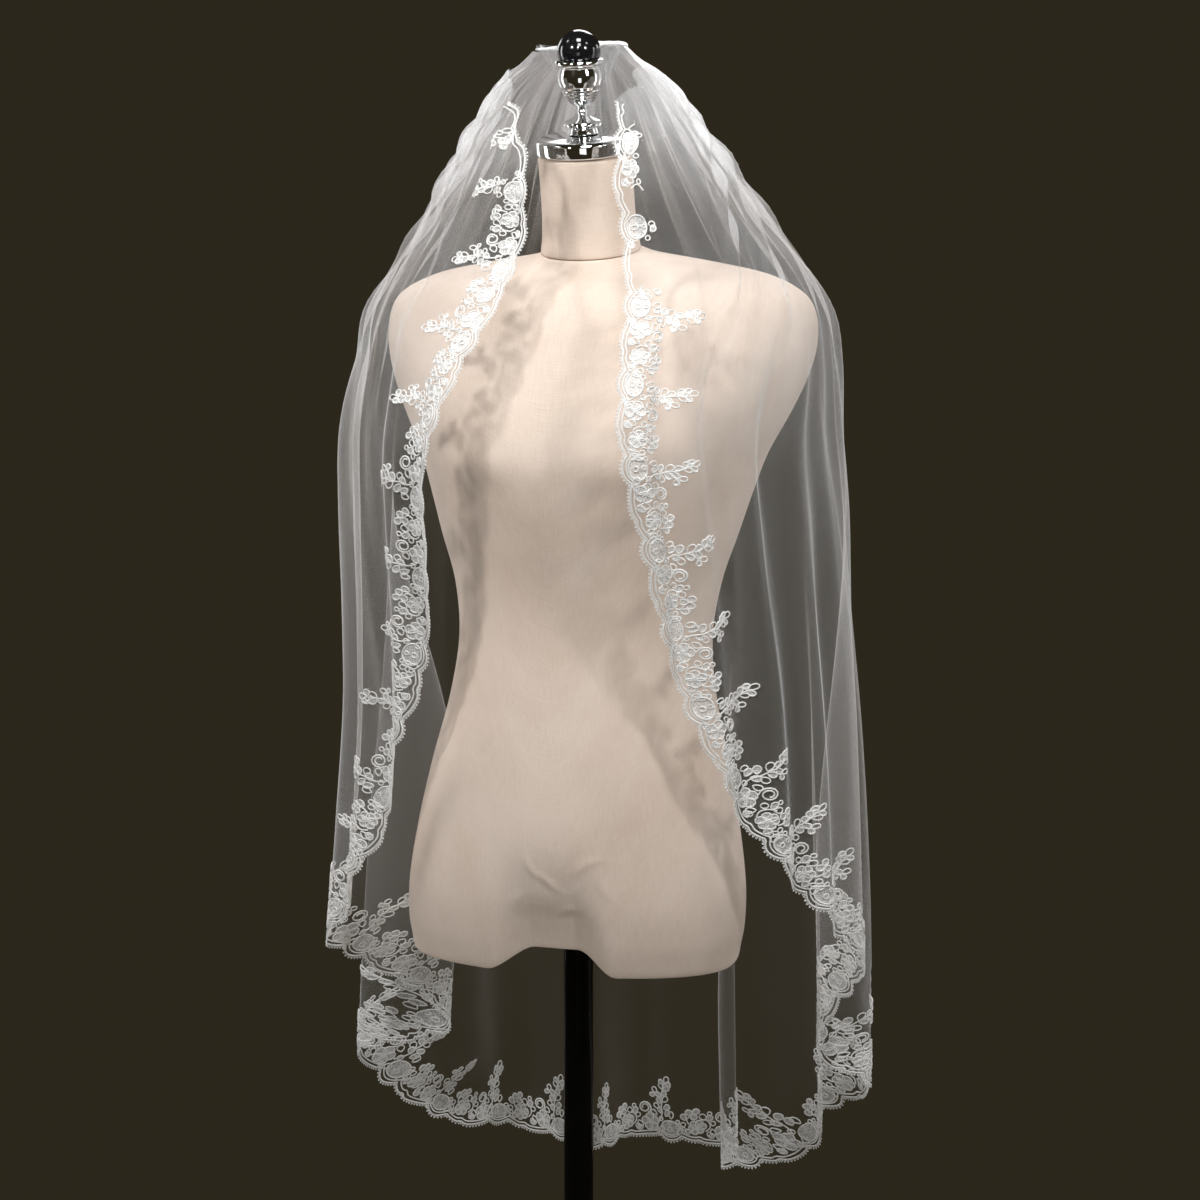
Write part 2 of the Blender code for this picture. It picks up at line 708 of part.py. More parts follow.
def line_inside_edge(runs, reach):
    """An even line (turns, heights) on the cloth at a distance inside its cut edge."""
    return [evened(line) for line in inward_from_edge(runs, reach)]


def lace_line(runs, gap):
    """The lace's inner line: a low point, a sprig's tip and a leaf's tip each repeat."""
    order = np.round(runs / REPEAT * COLUMNS_PER_REPEAT).astype(int) % COLUMNS_PER_REPEAT
    lines = []
    for reach in (LACE_WIDTH, SPRIG_REACH, LACE_WIDTH + LEAF_RISE):
        lines.append(line_inside_edge(runs, reach * lace_growth(runs) + gap))
    turn = np.choose(order, [line[0] for line in lines])
    height = np.choose(order, [line[1] for line in lines])
    return turn, height


def fall_rows(runs):
    """Rows of (turn, height) down the fall lines, from the comb to a line inside the lace."""
    reach = SPRIG_REACH * lace_growth(runs) + CLEAR_OF_SPRIGS
    end_turn, end_height = line_inside_edge(runs, reach)
    comb_turn = np.linspace(-COMB_SPREAD, COMB_SPREAD, len(runs))
    drop = COMB_HEIGHT - end_height
    power = 1.0 + 2.0 * smooth_step((drop - SHORT_DROP) / (LONG_DROP - SHORT_DROP))
    rows = []
    for place in ROW_PLACES:
        spread = 1.0 - (1.0 - place) ** power
        row_turn = comb_turn + (end_turn - comb_turn) * spread
        row_height = COMB_HEIGHT + (end_height - COMB_HEIGHT) * place
        rows.append((row_turn, row_height))
    rows.append(lace_line(runs, SEAM_IN_LACE))
    return rows


def sheet_normals(points):
    """The direction square to a sheet of points at each of them, out of the veil."""
    down = np.gradient(points, axis=0)
    across = np.gradient(points, axis=1)
    normal = np.cross(down, across)
    return normal / np.linalg.norm(normal, axis=-1, keepdims=True)


def make_tulle(tulle):
    runs = np.linspace(0.0, EDGE_LENGTH, REPEATS * COLUMNS_PER_REPEAT + 1)
    points = np.array([veil_point(*place) for place in fall_rows(runs)])
    normals = sheet_normals(points)
    walled_sheet("veil_tulle", points, normals, TULLE_WALL, tulle)
    return normals[-1]


def make_lace(lace, seam_normals):
    """The lace edge. Each repeat has a wide and a narrow scallop on its outer line, and the
    inner line follows its sprig and its leaf."""
    columns = REPEATS * LACE_COLUMNS_PER_REPEAT + 1
    runs = np.linspace(0.0, EDGE_LENGTH, columns)
    phase = (np.arange(columns) % LACE_COLUMNS_PER_REPEAT) / LACE_COLUMNS_PER_REPEAT
    wide = np.abs(np.sin(np.pi * phase / WIDE_LOBE))
    narrow = np.abs(np.sin(np.pi * (1.0 - phase) / (1.0 - WIDE_LOBE)))
    outer_reach = SCALLOP_DEPTH * (1.0 - np.where(phase < WIDE_LOBE, wide, narrow))
    seam_runs = np.linspace(0.0, EDGE_LENGTH, REPEATS * COLUMNS_PER_REPEAT + 1)
    places = np.arange(columns) * (COLUMNS_PER_REPEAT / LACE_COLUMNS_PER_REPEAT)
    lower = np.minimum(places.astype(int), len(seam_runs) - 2)
    part = (places - lower)[:, None]
    corners = veil_point(*lace_line(seam_runs, 0.0))
    inner = corners[lower] * (1.0 - part) + corners[lower + 1] * part
    seam = seam_normals[lower] * (1.0 - part) + seam_normals[lower + 1] * part
    middle_reach = LACE_MIDDLE * lace_growth(runs) + SCALLOP_DEPTH
    middle = veil_point(*line_inside_edge(runs, middle_reach))
    outer = veil_point(*inward_from_edge(runs, outer_reach))
    from_end = np.minimum(runs, EDGE_LENGTH - runs)
    kept = from_end >= PLAIN_START + LACE_GROWTH / 2.0
    points = np.array([inner[kept], middle[kept], outer[kept]])
    normals = sheet_normals(points)
    normals[0] = seam[kept]
    walled_sheet("lace_trim", points, normals, LACE_WALL, lace)


for old in list(bpy.data.objects):
    bpy.data.objects.remove(old, do_unlink=True)

PARTS = bpy.data.collections.new("bridal_veil_on_form")
bpy.context.scene.collection.children.link(PARTS)
CUTTERS = bpy.data.collections.new("cutters")
bpy.context.scene.collection.children.link(CUTTERS)

EDGE = veil_edge()
EDGE_LENGTH = float(EDGE[2][-1])
REPEATS = round(EDGE_LENGTH / REPEAT_LENGTH)
REPEAT = EDGE_LENGTH / REPEATS

linen_cloth = make_material("linen", (0.78, 0.68, 0.58), 0.9)
chrome_metal = make_material("chrome", (0.80, 0.80, 0.80), 0.08, 1.0)
black_lacquer = make_material("black_lacquer", (0.01, 0.01, 0.01), 0.15)
black_steel = make_material("black_steel", (0.012, 0.012, 0.012), 0.4)
white_tulle = make_material("tulle", (0.92, 0.92, 0.92), 0.8)
clear_comb = make_material("clear_plastic", (0.85, 0.86, 0.88), 0.15)
white_lace = make_material("lace", (0.95, 0.95, 0.93), 0.7)

make_stand(black_steel)
make_torso(linen_cloth)
finial_collar_top = make_neck_and_finial(linen_cloth, chrome_metal, black_lacquer)
make_comb(clear_comb, white_tulle, finial_collar_top)
seam_directions = make_tulle(white_tulle)
make_lace(white_lace, seam_directions)
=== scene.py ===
"""A bridal veil with a corded lace edge, worn by a limbless dress form on its stand."""

import math

import bpy
import numpy as np
from mathutils import Euler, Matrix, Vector


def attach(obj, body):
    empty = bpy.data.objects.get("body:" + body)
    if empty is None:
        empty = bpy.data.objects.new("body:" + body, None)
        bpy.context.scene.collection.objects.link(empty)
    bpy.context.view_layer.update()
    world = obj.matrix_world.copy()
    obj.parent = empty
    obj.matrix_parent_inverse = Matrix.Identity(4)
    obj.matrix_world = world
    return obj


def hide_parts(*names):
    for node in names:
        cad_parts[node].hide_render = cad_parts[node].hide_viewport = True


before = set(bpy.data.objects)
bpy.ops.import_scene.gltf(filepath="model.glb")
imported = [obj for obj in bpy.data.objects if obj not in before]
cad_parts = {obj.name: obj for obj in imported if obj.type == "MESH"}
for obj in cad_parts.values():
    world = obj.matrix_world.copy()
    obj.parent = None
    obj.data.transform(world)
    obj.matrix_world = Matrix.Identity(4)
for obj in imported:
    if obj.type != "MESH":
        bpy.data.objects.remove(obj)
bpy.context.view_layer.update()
scene = bpy.context.scene

# The camera
# It stands in front of the form and a little to its left hand, above chest height, and
# looks slightly down, as in the photograph.

camera = bpy.data.objects.new("camera", bpy.data.cameras.new("camera"))
camera.location = (0.8534, -2.5617, 1.45)
camera.rotation_euler = Euler((math.radians(82.2), 0.0, math.radians(18.0)))
camera.data.lens = 89.0
camera.data.sensor_width = 36.0
scene.collection.objects.link(camera)
scene.camera = camera

# The stand
# A round steel base plate, a collar with a clamping screw, and a steel pole. All are
# turned or tube, and powder coated black. The pole stands in the collar and goes up
# into the form.


def soften(profile, size, steps=4):
    """Rounds the corners of an open profile of (radius, height), but not its ends."""
    softened = [profile[0]]
    for before, corner, after in zip(profile, profile[1:], profile[2:]):
        before, corner, after = (np.array(point, dtype=float) for point in (before, corner, after))
        back = before - corner
        ahead = after - corner
        start = corner + back * min(size / np.linalg.norm(back), 0.48)
        end = corner + ahead * min(size / np.linalg.norm(ahead), 0.48)
        for step in range(steps + 1):
            part = step / steps
            point = start * (1 - part) ** 2 + corner * 2 * part * (1 - part) + end * part**2
            softened.append(tuple(point))
    softened.append(profile[-1])
    return softened


def finished(name, mesh, material, slot, *replaced):
    """Puts a piece in the scene with its material and its body. The record slot it is given is not used."""
    piece = bpy.data.objects.new(name, mesh)
    scene.collection.objects.link(piece)
    if not mesh.materials:
        mesh.materials.append(material)
    mesh.shade_smooth()
    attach(piece, "root")
    if replaced:
        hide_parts(*replaced)
    return piece


def turned_mesh(name, profile, sides, foot=(0.0, 0.0, 0.0), lean=0.0):
    """A closed turned piece from (radius, height) pairs that run from axis to axis, top
    first. Its UV map is in metres, round and down the surface."""
    radii = np.array([radius for radius, height in profile])
    heights = np.array([height for radius, height in profile])
    runs = np.concatenate([[0.0], np.cumsum(np.hypot(np.diff(radii), np.diff(heights)))])
    angles = np.linspace(0.0, 2.0 * np.pi, sides, endpoint=False)
    points = np.stack(
        [
            np.outer(radii, np.cos(angles)),
            np.outer(radii, np.sin(angles)),
            np.outer(heights, np.ones(sides)),
        ],
        axis=-1,
    )
    turn = np.array(Euler((lean, 0.0, 0.0)).to_matrix())
    points = points @ turn.T + np.array(foot)
    inner = range(1, len(profile) - 1)
    vertices = [tuple(points[0, 0])]
    for ring in inner:
        vertices += [tuple(point) for point in points[ring]]
    vertices.append(tuple(points[-1, 0]))
    last = len(vertices) - 1
    faces = []
    places = []
    around = radii.max() * 2.0 * np.pi / sides
    for side in range(sides):
        after = (side + 1) % sides
        faces.append((0, 1 + side, 1 + after))
        places += [(side * around, 0.0), (side * around, runs[1]), ((side + 1) * around, runs[1])]
        for ring in range(len(inner) - 1):
            upper = 1 + ring * sides
            lower = upper + sides
            faces.append((upper + side, lower + side, lower + after, upper + after))
            here, below = runs[ring + 1], runs[ring + 2]
            places += [(side * around, here), (side * around, below)]
            places += [((side + 1) * around, below), ((side + 1) * around, here)]
        bottom = 1 + (len(inner) - 1) * sides
        faces.append((bottom + side, last, bottom + after))
        places += [(side * around, runs[-2]), (side * around, runs[-1])]
        places += [((side + 1) * around, runs[-2])]
    mesh = bpy.data.meshes.new(name)
    mesh.from_pydata(vertices, [], faces)
    layer = mesh.uv_layers.new(name="UVMap")
    layer.data.foreach_set("uv", np.array(places).ravel())
    return mesh


def node(tree, kind, settings=(), **inputs):
    """A node with its settings and with values or links for its inputs, by name."""
    made = tree.nodes.new(kind)
    for name, value in dict(settings).items():
        setattr(made, name, value)
    for name, value in inputs.items():
        key = int(name[1:]) if name[0] == "i" and name[1:].isdigit() else name.replace("_", " ")
        if isinstance(value, bpy.types.NodeSocket):
            tree.links.new(value, made.inputs[key])
        else:
            made.inputs[key].default_value = value
    return made


def new_material(name, color, roughness, metallic=0.0):
    """A material, its node tree and its Principled shader."""
    material = bpy.data.materials.new(name)
    material.use_nodes = True
    tree = material.node_tree
    shader = tree.nodes["Principled BSDF"]
    shader.inputs["Base Color"].default_value = (*color, 1.0)
    shader.inputs["Roughness"].default_value = roughness
    shader.inputs["Metallic"].default_value = metallic
    material.diffuse_color = (*color, 1.0)
    return material, tree, shader


def wear_group():
    """Uneven handling wear: a roughness that wanders, and a fine height."""
    group = bpy.data.node_groups.new("handling wear", "ShaderNodeTree")
    sockets = group.interface
    for label, value in (("Rough low", 0.2), ("Rough high", 0.4), ("Grain size", 0.001)):
        sockets.new_socket(label, in_out="INPUT", socket_type="NodeSocketFloat").default_value = value
    sockets.new_socket("Roughness", in_out="OUTPUT", socket_type="NodeSocketFloat")
    sockets.new_socket("Height", in_out="OUTPUT", socket_type="NodeSocketFloat")
    given = group.nodes.new("NodeGroupInput")
    result = group.nodes.new("NodeGroupOutput")
    place = node(group, "ShaderNodeTexCoord").outputs["Object"]
    cloud = node(group, "ShaderNodeTexNoise", Vector=place, Scale=14.0, Detail=5.0)
    low, high = given.outputs["Rough low"], given.outputs["Rough high"]
    spread = node(group, "ShaderNodeMapRange", Value=cloud.outputs["Fac"], i1=0.35, i2=0.65, i3=low, i4=high)
    scale = node(group, "ShaderNodeMath", {"operation": "DIVIDE"}, i0=1.0, i1=given.outputs["Grain size"])
    grain = node(group, "ShaderNodeTexNoise", Vector=place, Scale=scale.outputs[0], Detail=2.0)
    group.links.new(spread.outputs["Result"], result.inputs["Roughness"])
    group.links.new(grain.outputs["Fac"], result.inputs["Height"])
    return group


WEAR = wear_group()


def add_wear(tree, shader, low, high, grain, depth):
    """Places the shared wear group in a material with its own values."""
    wear = node(tree, "ShaderNodeGroup", {"node_tree": WEAR})
    wear.inputs["Rough low"].default_value = low
    wear.inputs["Rough high"].default_value = high
    wear.inputs["Grain size"].default_value = grain
    tree.links.new(wear.outputs["Roughness"], shader.inputs["Roughness"])
    bump = node(tree, "ShaderNodeBump", Strength=0.25, Distance=depth, Height=wear.outputs["Height"])
    tree.links.new(bump.outputs["Normal"], shader.inputs["Normal"])


black_coat, tree, shader = new_material("black powder coat", (0.010, 0.010, 0.011), 0.3)
add_wear(tree, shader, 0.24, 0.42, 0.0012, 0.0002)
gloss_paint, tree, shader = new_material("black pole paint", (0.002, 0.002, 0.002), 0.15)
shader.inputs["Specular IOR Level"].default_value = 0.3
add_wear(tree, shader, 0.10, 0.22, 0.004, 0.0001)

SEAM_GAP = 0.0003
BASE_RADIUS = 0.150
BASE_THICKNESS = 0.014
base_profile = soften(
    [
        (0.0, BASE_THICKNESS),
        (BASE_RADIUS - 0.006, BASE_THICKNESS),
        (BASE_RADIUS, BASE_THICKNESS - 0.005),
        (BASE_RADIUS, 0.0),
        (0.0, 0.0),
    ],
    0.002,
)
finished("base_plate", turned_mesh("base_plate", base_profile, 128), black_coat, "black_steel", "stand_base")

COLLAR_RADIUS = 0.024
COLLAR_TOP = 0.060
POLE_RADIUS = 0.0138
collar_bottom = BASE_THICKNESS + SEAM_GAP
collar_profile = soften(
    [
        (0.0, COLLAR_TOP - 0.002),
        (POLE_RADIUS + 0.0005, COLLAR_TOP - 0.002),
        (POLE_RADIUS + 0.0005, COLLAR_TOP),
        (COLLAR_RADIUS - 0.004, COLLAR_TOP),
        (COLLAR_RADIUS, COLLAR_TOP - 0.008),
        (COLLAR_RADIUS + 0.006, collar_bottom),
        (0.0, collar_bottom),
    ],
    0.0012,
)
finished("pole_collar", turned_mesh("pole_collar", collar_profile, 64), black_coat, "black_steel", "stand_collar")

FORM_BOTTOM = 0.752
ARCH_RISE = 0.020
pole_top = FORM_BOTTOM + ARCH_RISE - SEAM_GAP
pole_profile = soften(
    [(0.0, pole_top), (POLE_RADIUS, pole_top), (POLE_RADIUS, collar_bottom + 0.001), (0.0, collar_bottom + 0.001)],
    0.0008,
)
finished("pole", turned_mesh("pole", pole_profile, 64), gloss_paint, "black_steel", "stand_pole")

# The dress form's torso
# A limbless padded torso covered in tight cream linen, open to the pole below between
# two low lobes. The linen is stretched on and turned in at the neck and the bottom, and
# it creases a little above the arch.

FORM_SECTIONS = (
    # height, half width, side y, front y, back y
    (1.3982, 0.0465, 0.038, -0.0085, 0.0845),
    (1.390, 0.066, 0.044, -0.014, 0.095),
    (1.382, 0.114, 0.056, -0.022, 0.108),
    (1.373, 0.161, 0.066, -0.030, 0.118),
    (1.360, 0.191, 0.071, -0.038, 0.126),
    (1.343, 0.203, 0.073, -0.048, 0.132),
    (1.318, 0.205, 0.072, -0.059, 0.137),
    (1.290, 0.199, 0.069, -0.070, 0.139),
    (1.255, 0.184, 0.063, -0.081, 0.137),
    (1.215, 0.163, 0.055, -0.088, 0.131),
    (1.180, 0.151, 0.048, -0.086, 0.122),
    (1.140, 0.139, 0.040, -0.080, 0.111),
    (1.095, 0.125, 0.034, -0.073, 0.100),
    (1.045, 0.119, 0.026, -0.073, 0.092),
    (0.990, 0.125, 0.016, -0.082, 0.100),
    (0.930, 0.139, 0.005, -0.095, 0.114),
    (0.870, 0.151, -0.004, -0.103, 0.124),
    (0.820, 0.158, -0.010, -0.106, 0.126),
    (0.785, 0.1585, -0.013, -0.104, 0.121),
    (0.765, 0.1555, -0.014, -0.101, 0.116),
    (0.753, 0.1530, -0.014, -0.098, 0.112),
)
UNDERSIDE_RINGS = (0.97, 0.84, 0.64, 0.46, 0.30, 0.18, 0.09)
ARCH_MIDDLE = 0.005
ARCH_FLAT = 0.0195
ARCH_SPAN = 0.062
ARCH_TOP = 0.870
ARCH_HOLLOW = 0.018
FORM_SQUARENESS = 2.2
NECK_FOOT = (0.0, 0.038, 1.3985)
NECK_LEAN = math.radians(11.0)
NECK_TILT_LAST = 1.345
TORSO_SIDES = 208
TORSO_STEPS = 5
CREASED_STEPS = 24
CREASED_ROWS = (16, 18)

LINEN_CREASES = (
    # x, height, length, width, rise, lean in degrees from upright
    (-0.012, 0.850, 0.034, 0.0038, 0.0010, -36.0),
    (0.006, 0.836, 0.026, 0.0034, 0.0008, -46.0),
    (0.040, 0.856, 0.036, 0.0042, 0.0009, 58.0),
    (0.054, 0.838, 0.034, 0.0042, 0.0009, -20.0),
    (0.022, 0.812, 0.022, 0.0042, 0.0008, 78.0),
    (-0.026, 0.818, 0.018, 0.0036, 0.0006, 24.0),
    (0.030, 0.832, 0.014, 0.0036, 0.0006, 35.0),
)


def smooth_step(value):
    value = np.clip(value, 0.0, 1.0)
    return value * value * (3.0 - 2.0 * value)


def signed_power(value, power):
    return np.sign(value) * np.abs(value) ** power


def smooth_table(keys, values, at):
    """Values between a table's rows on a curve that passes through each row."""
    slopes = np.gradient(values, keys, axis=0)
    place = np.clip(np.searchsorted(keys, at) - 1, 0, len(keys) - 2)
    wide = (slice(None),) + (None,) * (values.ndim - 1) if np.ndim(at) else ()
    step = np.diff(keys)[place]
    part = np.clip((at - keys[place]) / step, 0.0, 1.0)
    if values.ndim > 1:
        step, part = step[wide], part[wide]
    squared = part * part
    cubed = squared * part
    start = (2.0 * cubed - 3.0 * squared + 1.0) * values[place]
    start_slope = (cubed - 2.0 * squared + part) * step * slopes[place]
    end = (3.0 * squared - 2.0 * cubed) * values[place + 1]
    end_slope = (cubed - squared) * step * slopes[place + 1]
    return start + start_slope + end + end_slope


def arch_share(x):
    """The arch between the form's two low lobes: 1 over the pole, and 0 on the lobes."""
    return 1.0 - smooth_step((np.abs(x - ARCH_MIDDLE) - ARCH_FLAT) / (ARCH_SPAN - ARCH_FLAT))


def torso_ring(section, angles):
    """Points round one level section of the form."""
    height, half_width, side_y, front_y, back_y = section
    power = 2.0 / FORM_SQUARENESS
    x = half_width * signed_power(np.cos(angles), power)
    swing = signed_power(np.sin(angles), power)
    y = side_y + swing * np.where(swing < 0.0, side_y - front_y, back_y - side_y)
    aside = (np.abs(x) - 0.073) / 0.048
    above = (height - 1.225) / 0.048
    y = y - np.where(swing < 0.0, 0.016 * np.exp(-aside * aside - above * above), 0.0)
    tilt = smooth_step((height - NECK_TILT_LAST) / (FORM_SECTIONS[0][0] - NECK_TILT_LAST))
    arched = smooth_step((ARCH_TOP - height) / (ARCH_TOP - FORM_SECTIONS[-1][0])) * arch_share(x)
    y = y + np.where(swing < 0.0, ARCH_HOLLOW * arched, 0.0)
    z = height + tilt * math.tan(NECK_LEAN) * (y - NECK_FOOT[1]) + ARCH_RISE * arched
    return np.stack([x, y, z], axis=-1)


def sheet_mesh(name, points, places, closed=False):
    """A mesh over a grid of points, rows by columns, with a UV map from places."""
    down, across = points.shape[:2]
    row, column = np.meshgrid(np.arange(down - 1), np.arange(across - (not closed)), indexing="ij")
    after = (column + 1) % across
    corners = np.stack(
        [row * across + column, (row + 1) * across + column, (row + 1) * across + after, row * across + after],
        axis=-1,
    ).reshape(-1, 4)
    mesh = bpy.data.meshes.new(name)
    mesh.from_pydata(points.reshape(-1, 3).tolist(), [], corners.tolist())
    following = column + 1
    width = places.shape[1]
    picks = np.stack(
        [row * width + column, (row + 1) * width + column, (row + 1) * width + following, row * width + following],
        axis=-1,
    ).reshape(-1)
    layer = mesh.uv_layers.new(name="UVMap")
    layer.data.foreach_set("uv", places.reshape(-1, 2)[picks].ravel())
    return mesh


def torso_mesh():
    # The columns stand closer at the front, and the rows where the linen is creased.
    fine = np.linspace(0.0, 2.0 * np.pi, 4000)
    share = np.cumsum(1.0 + 3.0 * np.exp(-(((fine - 1.5 * np.pi) / 0.5) ** 2)))
    angles = np.interp(np.arange(TORSO_SIDES) / TORSO_SIDES, (share - share[0]) / (share[-1] - share[0]), fine)
    rings = [torso_ring(section, angles) for section in FORM_SECTIONS]
    first = rings[0].copy()
    middle = np.array([0.0, NECK_FOOT[1], FORM_SECTIONS[0][0]])
    cap = [middle + (first - middle) * share for share in (0.0, 0.5, 0.97)]
    rings[0] = middle + (first - middle) * 1.004
    rings[0][:, 2] -= 0.0009
    side_y = FORM_SECTIONS[-1][2]
    lowest = rings[-1]
    for share in (*UNDERSIDE_RINGS, 0.0):
        ring = lowest.copy()
        ring[:, 0] = lowest[:, 0] * share
        ring[:, 1] = side_y + (lowest[:, 1] - side_y) * share
        ring[:, 2] = FORM_BOTTOM + ARCH_RISE * arch_share(ring[:, 0])
        rings.append(ring)
    rings = np.array(rings)
    keys = np.arange(len(rings), dtype=float)
    first_row, last_row = CREASED_ROWS
    at = np.concatenate([
        np.arange(first_row * TORSO_STEPS) / TORSO_STEPS,
        np.linspace(first_row, last_row, (last_row - first_row) * CREASED_STEPS, endpoint=False),
        last_row + np.arange((keys[-1] - last_row) * TORSO_STEPS + 1) / TORSO_STEPS,
    ])
    points = smooth_table(keys, rings, at)
    points[-len(UNDERSIDE_RINGS) * TORSO_STEPS :, :, 2] = np.minimum(
        points[-len(UNDERSIDE_RINGS) * TORSO_STEPS :, :, 2], FORM_BOTTOM + ARCH_RISE
    )
    out = points - np.array([0.0, side_y, 0.0])
    out[..., 2] = 0.0
    out /= np.maximum(np.linalg.norm(out, axis=-1, keepdims=True), 1e-6)
    for x, height, length, width, rise, lean in LINEN_CREASES:
        lean = math.radians(lean)
        across = (points[..., 0] - x) * math.cos(lean) - (points[..., 2] - height) * math.sin(lean)
        along = (points[..., 0] - x) * math.sin(lean) + (points[..., 2] - height) * math.cos(lean)
        bend = across - 18.0 * along * along
        ridge = rise * np.exp(-((bend / width) ** 2) - (along / (length / 2.0)) ** 2)
        points += out * (ridge * (points[..., 1] < 0.0))[..., None]
    points = np.concatenate([np.array(cap), points])
    down = np.concatenate([[np.zeros(TORSO_SIDES)], np.linalg.norm(np.diff(points, axis=0), axis=-1)])
    down = np.cumsum(down, axis=0)
    down = np.concatenate([down, down[:, :1]], axis=1)
    around = (np.append(angles, 2.0 * np.pi) * 0.84 / (2.0 * np.pi))[None, :].repeat(len(points), axis=0)
    return sheet_mesh("linen_torso", points, np.stack([around, down], axis=-1), closed=True)


def weave_group():
    """Plain weave: warp and weft that pass over and under, with slubs and a soft tone."""
    group = bpy.data.node_groups.new("plain weave", "ShaderNodeTree")
    sockets = group.interface
    sockets.new_socket("Vector", in_out="INPUT", socket_type="NodeSocketVector")
    sockets.new_socket("Thread", in_out="INPUT", socket_type="NodeSocketFloat").default_value = 0.0008
    sockets.new_socket("Height", in_out="OUTPUT", socket_type="NodeSocketFloat")
    sockets.new_socket("Tone", in_out="OUTPUT", socket_type="NodeSocketFloat")
    given = group.nodes.new("NodeGroupInput")
    result = group.nodes.new("NodeGroupOutput")
    parts = node(group, "ShaderNodeSeparateXYZ", Vector=given.outputs["Vector"])
    rate = node(group, "ShaderNodeMath", {"operation": "DIVIDE"}, i0=2.0 * math.pi, i1=given.outputs["Thread"])
    waves = []
    for axis in ("X", "Y"):
        turned = node(group, "ShaderNodeMath", {"operation": "MULTIPLY"}, i0=parts.outputs[axis], i1=rate.outputs[0])
        waves.append(node(group, "ShaderNodeMath", {"operation": "SINE"}, i0=turned.outputs[0]).outputs[0])
    crossing = node(group, "ShaderNodeMath", {"operation": "MULTIPLY"}, i0=waves[0], i1=waves[1])
    slubs = []
    for stretch in ((60.0, 900.0, 1.0), (900.0, 60.0, 1.0)):
        drawn = node(group, "ShaderNodeVectorMath", {"operation": "MULTIPLY"}, i0=given.outputs["Vector"], i1=stretch)
        slubs.append(node(group, "ShaderNodeTexNoise", Vector=drawn.outputs[0], Scale=1.0, Detail=1.0).outputs["Fac"])
    slub = node(group, "ShaderNodeMath", {"operation": "ADD"}, i0=slubs[0], i1=slubs[1])
    thick = node(group, "ShaderNodeMath", {"operation": "MULTIPLY_ADD"}, i0=crossing.outputs[0], i1=0.35, i2=slub.outputs[0])
    cloud = node(group, "ShaderNodeTexNoise", Vector=given.outputs["Vector"], Scale=9.0, Detail=4.0, Roughness=0.55)
    tone = node(group, "ShaderNodeMath", {"operation": "MULTIPLY_ADD"}, i0=slub.outputs[0], i1=0.35, i2=cloud.outputs["Fac"])
    group.links.new(thick.outputs[0], result.inputs["Height"])
    group.links.new(tone.outputs[0], result.inputs["Tone"])
    return group


WEAVE = weave_group()
linen, tree, shader = new_material("cream linen", (0.79, 0.65, 0.55), 0.85)
shader.inputs["Sheen Weight"].default_value = 0.15
shader.inputs["Sheen Roughness"].default_value = 0.5
shader.inputs["Specular IOR Level"].default_value = 0.25
weave = node(tree, "ShaderNodeGroup", {"node_tree": WEAVE})
weave.inputs["Thread"].default_value = 0.0009
tree.links.new(node(tree, "ShaderNodeTexCoord").outputs["UV"], weave.inputs["Vector"])
ramp = node(tree, "ShaderNodeValToRGB", Fac=weave.outputs["Tone"])
ramp.color_ramp.elements[0].position = 0.55
ramp.color_ramp.elements[0].color = (0.70, 0.56, 0.46, 1.0)
ramp.color_ramp.elements[1].position = 1.15
ramp.color_ramp.elements[1].color = (0.82, 0.69, 0.59, 1.0)
tree.links.new(ramp.outputs["Color"], shader.inputs["Base Color"])
bump = node(tree, "ShaderNodeBump", Strength=0.35, Distance=0.0004, Height=weave.outputs["Height"])
tree.links.new(bump.outputs["Normal"], shader.inputs["Normal"])
torso = finished("linen_torso", torso_mesh(), linen, "linen", "form_torso")

# The neck
# A padded neck that leans forward, covered in the same linen. Its cover is sewn to the
# torso's round a ring seam, and the chrome cap closes it above.

NECK_LENGTH = 0.090
NECK_RADIUS = 0.0425
neck_profile = soften(
    [
        (0.0, NECK_LENGTH),
        (NECK_RADIUS + 0.0005, NECK_LENGTH),
        (NECK_RADIUS, NECK_LENGTH * 0.7),
        (NECK_RADIUS, NECK_LENGTH * 0.4),
        (NECK_RADIUS + 0.0015, NECK_LENGTH * 0.15),
        (NECK_RADIUS + 0.0036, 0.0012),
        (NECK_RADIUS + 0.0018, 0.0),
        (0.0, 0.0),
    ],
    0.006,
    6,
)
neck_mesh = turned_mesh("linen_neck", neck_profile, 96, NECK_FOOT, NECK_LEAN)
finished("linen_neck", neck_mesh, linen, "linen", "form_neck")


def on_neck_axis(distance):
    """The point at a distance up the leaning neck axis."""
    back = NECK_FOOT[1] - distance * math.sin(NECK_LEAN)
    return (NECK_FOOT[0], back, NECK_FOOT[2] + distance * math.cos(NECK_LEAN))


# The cap, the finial and its knob
# A spun chrome cap closes the neck. The finial is turned brass, chromed, and it screws
# into the cap. The knob is black lacquered and sits in the finial's collar.

